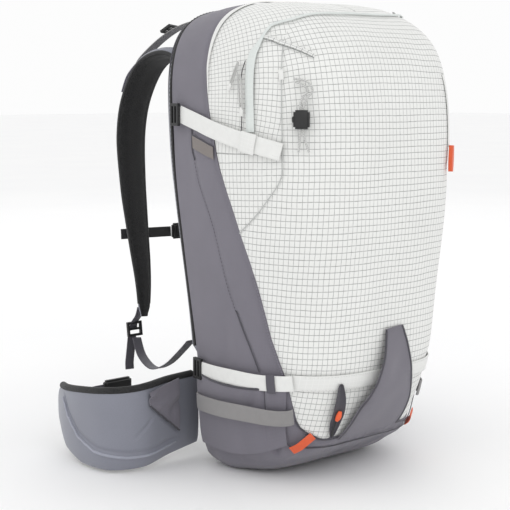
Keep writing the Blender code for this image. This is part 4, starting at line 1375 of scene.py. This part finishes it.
def panel_outline(inset, low, count):
    half = []
    for turn in np.linspace(0.0, 1.0, 120):
        x, z = rim(1.0 - turn)
        middle = (BAG_HEIGHT + low) / 2
        x = max(x - inset, 0.0)
        z = z - inset if z > middle else z
        if z < low:
            break
        half.append((x, z))
    last = half[-1][0]
    half += [(last, low), (0.0, low)]
    lengths = [0.0]
    for a, b in zip(half, half[1:]):
        lengths.append(lengths[-1] + math.hypot(b[0] - a[0], b[1] - a[1]))
    spots = np.linspace(0.0, lengths[-1], count)
    right = [tuple(float(np.interp(s, lengths, [p[k] for p in half])) for k in (0, 1)) for s in spots]
    return right + [(-x, z) for x, z in right[-2:0:-1]]


def back_pad():
    """The zipped back panel: smooth grey edge, mesh face with raised foam channels."""
    count = 90
    outline = panel_outline(0.006, PAD_BOTTOM, count)
    middle = Vector((0.0, (BAG_HEIGHT + PAD_BOTTOM) / 2))

    def place(u, v):
        at = u * len(outline)
        k = int(round(at)) % len(outline)
        edge = Vector(outline[k])
        steps = ((0.0, 0.0060), (0.05, 0.0120), (0.10, 0.0185), (0.16, 0.0212), (0.22, 0.0220), (1.0, 0.0215))
        drawn = float(np.interp(v, (0.0, 0.18, 1.0), (0.0, 0.055, 1.0)))
        rise = float(np.interp(v, [s for s, r in steps], [r for s, r in steps]))
        spot = edge + (middle - edge) * drawn
        channel = ease((v - 0.25) / 0.1)
        rise -= channel * 0.0035 * (math.exp(-((abs(spot.x) - 0.032) / 0.007) ** 2))
        across = sum(math.exp(-((spot.y - z) / 0.006) ** 2) for z in (0.235, 0.330, 0.425))
        rise -= channel * 0.0035 * across * (1.0 if abs(spot.x) > 0.032 else 0.0)
        return Vector((spot.x, back_y(spot.y) + rise, spot.y))

    thing = grid("look_back_pad", len(outline), 70, place, lambda u, v: (u * 1.2, v * 0.15))
    merge(thing, 0.0002)
    face_out(thing, (0.0, 0.0, 0.35))
    thicken(thing, 0.0030)
    thing.data.materials.clear()
    thing.data.materials.append(FOAM_EDGE)
    thing.data.materials.append(MESH_GREY)
    for face in thing.data.polygons:
        x, y, z = face.center
        top = BAG_HEIGHT - 0.055 - 0.25 * x * x / 0.02
        inner = abs(x) < half_width(z) - 0.034 and PAD_BOTTOM + 0.022 < z < top
        face.material_index = 1 if inner and y > back_y(z) + 0.013 else 0
    dress(thing, None, "back_panel", "back_pad", angle=60)
    ring = [Vector((x * 0.955, back_y(z) + 0.0195, 0.02 + z * 0.955 + 0.004)) for x, z in outline]
    piping = rod("back_piping", ring + ring[:1], 0.0015, 8, 260)
    dress(piping, DARK_CLOTH, "back_panel", "back_pad", angle=60)


def back_zip():
    points = []
    for turn in np.linspace(-0.752, 0.752, 160):
        spot = bag_point(turn, 0.0)
        points.append(Vector((spot.x * 0.985, spot.y + 0.0030, spot.z - 0.002)))
    coil = rod("look_back_zip", points, 0.0019, 10, 400,
               taper=lambda t: 1.0 + 0.22 * math.sin(t * 400 * math.pi))
    dress(coil, PLASTIC, "bag", "back_zip", angle=80)


def frame_parts():
    half = [(-0.075, 0.165), (-0.085, 0.25), (-0.095, 0.36), (-0.088, 0.46), (-0.050, 0.515), (0.0, 0.528)]
    points = half + [(-x, z) for x, z in half[-2::-1]]
    bar = rod("look_frame_rod", [(x, back_y(z) - 0.0004, z) for x, z in points], 0.0024, 16, 90)
    dress(bar, ROD_METAL, "back_panel", "frame_rod", angle=60)
    board = rounded_copy("frame_sheet", "look_frame_sheet", 0.0004, 2)
    dress(board, PLASTIC, "back_panel", "frame_sheet", angle=40)


# ---------------------------------------------------------------- harness

PAD_ROUTE = ((-0.052, 0.134, 0.476), (-0.056, 0.158, 0.500), (-0.062, 0.196, 0.518), (-0.068, 0.240, 0.505),
             (-0.074, 0.268, 0.462), (-0.079, 0.276, 0.410), (-0.083, 0.268, 0.345), (-0.087, 0.254, 0.285),
             (-0.092, 0.236, 0.215), (-0.096, 0.229, 0.166))
PAD_WIDTHS = (0.060, 0.062, 0.058, 0.054, 0.046, 0.034, 0.018)
PAD_THICKS = (0.010, 0.014, 0.014, 0.014, 0.013, 0.011, 0.008)
PAD_YAW = 0.22


def shoulder_pad(side):
    """Foam strap: grey knit outside, black mesh towards the wearer, bound edge."""
    label = side_name(side)
    node = "shoulder_pad_" + label
    count = 110
    sides = 44
    path = smooth_path(mirrored(PAD_ROUTE, side), count + 1)
    ways = tangents(path)

    def ring(i):
        way = ways[i]
        wide = Vector((1, -side * PAD_YAW, 0)).normalized()
        wide = (wide - way * way.dot(wide)).normalized()
        return wide, way.cross(wide).normalized()

    def place(u, v):
        i = min(int(round(v * count)), count)
        wide, out = ring(i)
        c, s = round_corner(2 * math.pi * u, 2.6)
        width = at_step(PAD_WIDTHS, v) / 2
        deep = at_step(PAD_THICKS, v) / 2
        quilt = 0.0
        if abs(c) < 0.82:
            quilt = -0.0011 * math.exp(-((abs(c) - 0.70) / 0.05) ** 2)
            quilt -= 0.0009 * max(0.0, 1.0 - abs(((v * 9) % 1.0) - 0.5) * 16) * (1.0 if s < 0 else 0.0)
        ripple = noise.noise(path[i] * 40.0 + wide * c * 2.0) * 0.0006
        end = 1.0 - 0.35 * ease((v - 0.97) / 0.03)
        return path[i] + wide * width * c * end + out * (deep + quilt + ripple) * s * end

    thing = grid("look_" + node, sides, count, place, lambda u, v: (u * 0.13, v * 0.48))
    close_ends(thing)
    outs = [ring(i)[1] for i in range(count + 1)]
    facing = 1.0 if outs[60].y > 0 else -1.0
    mesh = thing.data
    mesh.materials.clear()
    mesh.materials.append(FOAM)
    mesh.materials.append(MESH)
    for face in mesh.polygons:
        centre = Vector(face.center)
        i = min(range(0, count + 1, 3), key=lambda k: (path[k] - centre).length_squared)
        face.material_index = 0 if (centre - path[i]).dot(outs[i] * facing) > -0.0005 else 1
    dress(thing, None, "back_panel", node, angle=70)
    for edge, sign in (("inner", -1.0), ("outer", 1.0)):
        line = []
        for i in range(2, count - 2, 2):
            wide, out = ring(i)
            half = at_step(PAD_WIDTHS, i / count) / 2
            line.append(path[i] + wide * sign * (half - 0.0004))
        bind = rod("pad_binding_" + label + "_" + edge, line, 0.0021, 8, 110)
        dress(bind, BLACK_WEB, "back_panel", node, angle=70)
    tip = [(-0.0950, 0.2365, 0.178), (-0.0962, 0.2400, 0.166), (-0.0985, 0.2475, 0.155),
           (-0.0990, 0.2485, 0.148)]
    web("pad_tip_web_" + label, mirrored(tip, side), (1, -side * PAD_YAW, 0), 0.0145, DARK_WEB, "back_panel",
        node, 24)


def web(name, points, wide_way, width, paint, body, node, count=50, thick=WEBBING, arch=0.0002):
    path, outs = flat_path(points, wide_way, count)
    thing = band(name, path, outs, width, thick, cross=6, arch=arch)
    return dress(thing, paint, body, node, angle=50)


def lifter(side):
    label = side_name(side)
    node = "lifter_strap_" + label
    route = [(-0.071, 0.272, 0.496), (-0.068, 0.260, 0.513), (-0.062, 0.228, 0.536), (-0.055, 0.198, 0.551),
             (-0.049, 0.168, 0.558), (-0.046, 0.136, 0.555)]
    web("look_" + node, mirrored(route, side), (1, 0, 0), 0.015, GREY_WEB, "back_panel", node)
    tab = [(-0.0760, 0.2790, 0.464), (-0.0735, 0.2785, 0.484), (-0.0710, 0.2745, 0.4960),
           (-0.0695, 0.2690, 0.5040)]
    web("lifter_tab_" + label, mirrored(tab, side), (1, -side * PAD_YAW, 0), lambda t: 0.042 - 0.025 * t,
        GREY_CLOTH, "back_panel", node, 30, 0.0012)
    ends = [Vector(p) for p in mirrored([(-0.0620, 0.2301, 0.5400), (-0.0585, 0.2151, 0.5485)], side)]
    lock = ladder_lock("look_lifter_buckle_" + label, ends[1], ends[1] - ends[0], (0, 0.49, 0.87), 0.021,
                       0.018, 0.0035)
    dress(lock, PLASTIC, "back_panel", "lifter_buckle_" + label, angle=60)


def haul_loop():
    half = [(-0.032, 0.1340, 0.545), (-0.034, 0.143, 0.557), (-0.026, 0.150, 0.567), (0.0, 0.153, 0.571)]
    points = half + [(-x, y, z) for x, y, z in half[-2::-1]]
    path = smooth_path(points, 60)
    ways = tangents(path)
    outs = []
    for way in ways:
        wide = (Vector((0, 1, 0.3)) - way * way.dot(Vector((0, 1, 0.3)))).normalized()
        outs.append(way.cross(wide).normalized())
    thing = band("look_haul_loop", path, outs, lambda t: 0.0085 - 0.0015 * math.sin(math.pi * t), 0.0026,
                 cross=6, arch=0.001)
    dress(thing, DARK_WEB, "back_panel", "haul_loop", angle=50)


def lower_harness(side):
    label = side_name(side)
    place = mirrored([(-0.099, 0.2470, 0.147)], side)[0]
    lock = ladder_lock("look_pad_buckle_" + label, place, (0, 0.12, 1), (0, 1, -0.1), 0.024, 0.020, 0.0038)
    dress(lock, PLASTIC, "back_panel", "pad_buckle_" + label, angle=60)
    route = [(-0.099, 0.2420, 0.1360), (-0.103, 0.225, 0.114), (-0.110, 0.191, 0.104), (-0.114, 0.156, 0.115),
             (-0.116, 0.124, 0.138), (-0.116, 0.1060, 0.154)]
    web("look_lower_web_" + label, mirrored(route, side), (1, 0, 0), 0.014, DARK_WEB, "back_panel",
        "lower_web_" + label)
    tail = [(-0.099, 0.2520, 0.1380), (-0.100, 0.2555, 0.110), (-0.101, 0.2560, 0.100),
            (-0.1015, 0.2550, 0.090)]
    web("look_web_tail_" + label, mirrored(tail, side), (1, 0, 0), 0.014, DARK_WEB, "back_panel",
        "web_tail_" + label, 24)


STERNUM_Z = 0.275
STERNUM_Y = 0.2675


def sternum(side):
    label = side_name(side)
    route = [(-0.104, STERNUM_Y, STERNUM_Z), (-0.060, STERNUM_Y - 0.001, STERNUM_Z - 0.001),
             (-0.0195, STERNUM_Y - 0.002, STERNUM_Z - 0.002)]
    web("look_sternum_strap_" + label, mirrored(route, side), (0, 0.1, 1), 0.014, BLACK_WEB, "sternum",
        "sternum_strap_" + label, 30)


def sternum_buckle():
    thing = rounded_copy("sternum_buckle", "look_sternum_buckle", 0.0008, 3)
    dress(thing, PLASTIC, "sternum", "sternum_buckle", angle=40)


# ---------------------------------------------------------------- hip belt

WING_ROUTE = ((-0.100, 0.1180, 0.0), (-0.150, 0.1120, 0.0), (-0.200, 0.1020, 0.0), (-0.232, 0.122, 0.0),
              (-0.238, 0.165, 0.0), (-0.229, 0.215, 0.0), (-0.207, 0.262, 0.0))
WING_TOP = (0.106, 0.106, 0.105, 0.102, 0.096, 0.089, 0.082)
WING_LOW = (0.016, 0.011, 0.006, 0.0035, 0.0035, 0.012, 0.034)


def wing_relief(up, t):
    """Embossed lines of the moulded foam: a curved bead above the lower edge and a slanting crease."""
    bead_up = bead_height(t)
    bead = math.exp(-((up - bead_up) / 0.024) ** 2) * 0.0018
    groove = math.exp(-((up - bead_up - 0.058) / 0.020) ** 2) * 0.0016
    slant = math.exp(-((up - 0.52 + 2.6 * (t - 0.34)) / 0.028) ** 2)
    crease = slant * 0.0016 * math.exp(-((t - 0.34) / 0.045) ** 2)
    return (bead - groove) * ease((t - 0.10) / 0.1) * ease((0.86 - t) / 0.05) - crease


def bead_height(t):
    along = (0.0, 0.30, 0.42, 0.55, 0.66, 0.75, 0.82, 1.0)
    return float(np.interp(t, along, (0.16, 0.15, 0.17, 0.24, 0.38, 0.60, 0.86, 1.0)))


def wing_ring(side, count):
    """Gives the point of the wing at (t, angle round its section), and the way out at t."""
    path = smooth_path(mirrored(WING_ROUTE, side), count + 1)
    ways = tangents(path)

    def spot(u, t):
        i = min(int(round(t * count)), count)
        top = at_step(WING_TOP, t)
        low = at_step(WING_LOW, t)
        out = ways[i].cross(Vector((0, 0, 1))).normalized() * side
        c, s = round_corner(2 * math.pi * u, 3.0)
        relief = wing_relief((c + 1) / 2, t) if s > 0 else 0.0
        tip = 1.0 - 0.25 * ease((t - 0.985) / 0.015)
        return Vector((path[i].x, path[i].y, (top + low) / 2 + (top - low) / 2 * c * tip)) + out * (
            0.0065 * s * tip + relief)

    return spot


def hip_wing(side):
    label = side_name(side)
    node = "hip_wing_" + label
    body = "wing_" + label
    count = 150
    spot = wing_ring(side, count)
    thing = grid("look_" + node, 200, count, spot, lambda u, v: (u * 0.22, v * 0.33))
    close_ends(thing)
    mesh = thing.data
    mesh.materials.clear()
    mesh.materials.append(FOAM)
    mesh.materials.append(MESH)
    uv = mesh.uv_layers.active.data
    for face in mesh.polygons:
        around = sum(uv[loop].uv.x for loop in face.loop_indices) / (0.22 * face.loop_total)
        face.material_index = 0 if 0.045 < around < 0.47 else 1
    dress(thing, None, body, node, angle=70)
    bead = []
    for t in np.linspace(0.15, 0.835, 90):
        c = 2.0 * bead_height(t) - 1.0
        s = (1.0 - abs(c) ** 3) ** (1.0 / 3.0)
        bead.append(spot(math.atan2(s, c) / (2 * math.pi), t))
    # The bead is a lighter foam colour: painted highlight where it catches light from above.
    piping = rod("wing_bead_" + label, bead, 0.0015, 8, 130,
                 taper=lambda t: 0.25 + 0.75 * math.sin(math.pi * min(max(t, 0.02), 0.98)) ** 0.4)
    dress(piping, FOAM_PAINTED_HIGHLIGHT, body, node, angle=70)
    lining = [spot(0.985, t) + Vector((0.0, 0.0, 0.0012)) for t in np.linspace(0.02, 0.985, 110)]
    binding = rod("wing_binding_" + label, lining, 0.0048, 14, 110)
    dress(binding, MESH, body, node, angle=70)


def hip_gusset(side):
    """Grey stabiliser cloth sewn over the wing's root."""
    label = side_name(side)
    node = "hip_gusset_" + label
    route = [(-0.138, 0.1030, 0.0), (-0.165, 0.0985, 0.0), (-0.192, 0.0925, 0.0)]
    path = smooth_path(mirrored(route, side), 31)
    ways = tangents(path)

    def place(u, v):
        i = min(int(round(v * 30)), 30)
        out = ways[i].cross(Vector((0, 0, 1))).normalized() * side
        low = 0.040 + 0.043 * v
        high = 0.109 - 0.009 * v
        puff = 0.0030 * math.sin(math.pi * u) * math.sin(math.pi * min(max(v, 0.02), 0.98)) ** 0.5
        waver = 2.0 * noise.noise(Vector((u * 3, v * 3, 0.3)))
        rays = 0.0020 * math.sin(9.0 * u + 7.0 * v + waver) * math.sin(math.pi * u)
        return Vector((path[i].x, path[i].y, low + (high - low) * u)) + out * (puff + rays)

    thing = grid("look_" + node, 30, 30, place, lambda u, v: (u * 0.06, v * 0.05))
    face_out(thing, (0.0, 0.12, 0.07))
    thicken(thing, 0.0012)
    dress(thing, GREY_CLOTH, "wing_" + label, node, angle=60)
    edge = [place(0.02, t) for t in np.linspace(0.0, 1.0, 20)]
    hem = rod("gusset_hem_" + label, edge, 0.0012, 8, 30)
    dress(hem, DARK_CLOTH, "wing_" + label, node, angle=60)


def hip_front(side):
    label = side_name(side)
    body = "wing_" + label
    route = [(-0.190, 0.262, 0.058), (-0.170, 0.272, 0.057), (-0.145, 0.280, 0.056), (-0.125, 0.284, 0.055)]
    web("look_hip_web_" + label, mirrored(route, side), (0, 0, 1), 0.024, DARK_WEB, body,
        "hip_web_" + label, 30)
    buckle = rounded_copy("hip_buckle_" + label, "look_hip_buckle_" + label, 0.0010, 3)
    dress(buckle, PLASTIC, body, "hip_buckle_" + label, angle=40)


def lumbar_pad():
    count = 60
    route = [(-0.088, 0.0945, 0.070), (-0.04, 0.0965, 0.070), (0.04, 0.0965, 0.070), (0.088, 0.0945, 0.070)]
    path = smooth_path(route, count + 1)

    def place(u, v):
        i = min(int(round(v * count)), count)
        c, s = round_corner(2 * math.pi * u, 2.8)
        high = at_step((0.085, 0.105, 0.105, 0.085), v) / 2
        deep = at_step((0.022, 0.024, 0.024, 0.022), v) / 2
        quilt = -0.0016 * math.exp(-((abs(c) - 0.62) / 0.05) ** 2)
        return path[i] + Vector((0.0, (deep + quilt) * s, high * c))

    thing = grid("look_lumbar_pad", 56, count, place, lambda u, v: (u * 0.24, v * 0.18))
    close_ends(thing)
    dress(thing, MESH, "bag", "lumbar_pad", angle=70)


# ---------------------------------------------------------------- light and floor

FLOOR_SIZE = 40.0
WORLD_STRENGTH = 0.98
# Each lamp's name, place, size and power.
LAMPS = (("key", (-1.6, -2.4, 2.6), 2.2, 14.0),
         ("fill", (-2.6, 0.4, 1.2), 2.0, 2.0),
         ("rear", (2.0, 2.2, 2.4), 2.0, 8.0))


def make_studio():
    bpy.context.scene.view_settings.view_transform = "Standard"
    world = bpy.data.worlds.new("studio")
    bpy.context.scene.world = world
    world.use_nodes = True
    world.node_tree.nodes["Background"].inputs["Color"].default_value = (1.0, 1.0, 1.0, 1.0)
    world.node_tree.nodes["Background"].inputs["Strength"].default_value = WORLD_STRENGTH
    bpy.ops.object.select_all(action="DESELECT")
    bpy.ops.mesh.primitive_plane_add(size=FLOOR_SIZE)
    floor = bpy.context.object
    floor.name = "floor"
    paint = Paint("pale_floor", 0.75)
    x, y, z, place = paint.body()
    mottle = paint.speckle(place, 2.0).over(0.3, 0.7)
    paint.feed("Base Color", paint.mix(mottle, (0.94, 0.94, 0.945), (0.96, 0.96, 0.96)))
    floor.data.materials.append(paint.material)
    for name, place, size, power in LAMPS:
        lamp = bpy.data.lights.new(name, "AREA")
        lamp.energy = power
        lamp.size = size
        thing = bpy.data.objects.new(name, lamp)
        bpy.context.scene.collection.objects.link(thing)
        thing.location = place
        thing.rotation_euler = (Vector((0, 0, 0.3)) - Vector(place)).to_track_quat("-Z", "Y").to_euler()


# Near-black colour for painted shadow in gaps and slots.
GAP_SHADOW_PAINT = woven_paint("gap_shadow", shade(DARK_GREY, 0.5))
LID_SHADE = woven_paint("lid_shade", (0.22, 0.23, 0.23), fleck=0.02)
SEAM_WHITE = woven_paint("seam_white", shade(WHITE, 0.97), fleck=0.02)
SEAM_CLOTH = woven_paint("seam_cloth", (0.50, 0.51, 0.50), fleck=0.02)
WHITE_GARAGE = woven_paint("zip_flap", (0.72, 0.76, 0.74), fleck=0.02, roughness=0.45)

PATCH_MESH = woven_paint("patch_mesh", (0.215, 0.190, 0.178), stripe=0.0022)
MESH_GREY = mesh_paint("back_mesh", (0.030, 0.031, 0.034))
# Lighter foam for the wing bead: painted highlight.
FOAM_PAINTED_HIGHLIGHT = foam_paint("foam_bead_painted_highlight", shade(FOAM_GREY, 1.5))
FOAM_EDGE = foam_paint("edge_knit", shade(FOAM_GREY, 0.85))

shell_front()
shell_seams()
base_panel()
top_zip()
zip_pulls()
cord_lock()
front_band()
carry_loop()
tool_keeper()
side_zip_pull()
back_pad()
back_zip()
frame_parts()
haul_loop()
sternum_buckle()
lumbar_pad()
for side in (-1, 1):
    shell_gusset(side)
    side_panel(side)
    side_pocket(side)
    ski_band(side)
    upper_strap(side)
    lower_strap(side)
    bag_buckle("lower_buckle_" + side_name(side), side * 0.789, 0.035, 0.09, 0.0265)
    bag_buckle("upper_buckle_" + side_name(side), side * 0.321, 0.045, 0.10, 0.0270)
    base_tab(side)
    shoulder_pad(side)
    lifter(side)
    lower_harness(side)
    sternum(side)
    hip_wing(side)
    hip_gusset(side)
    hip_front(side)
make_studio()
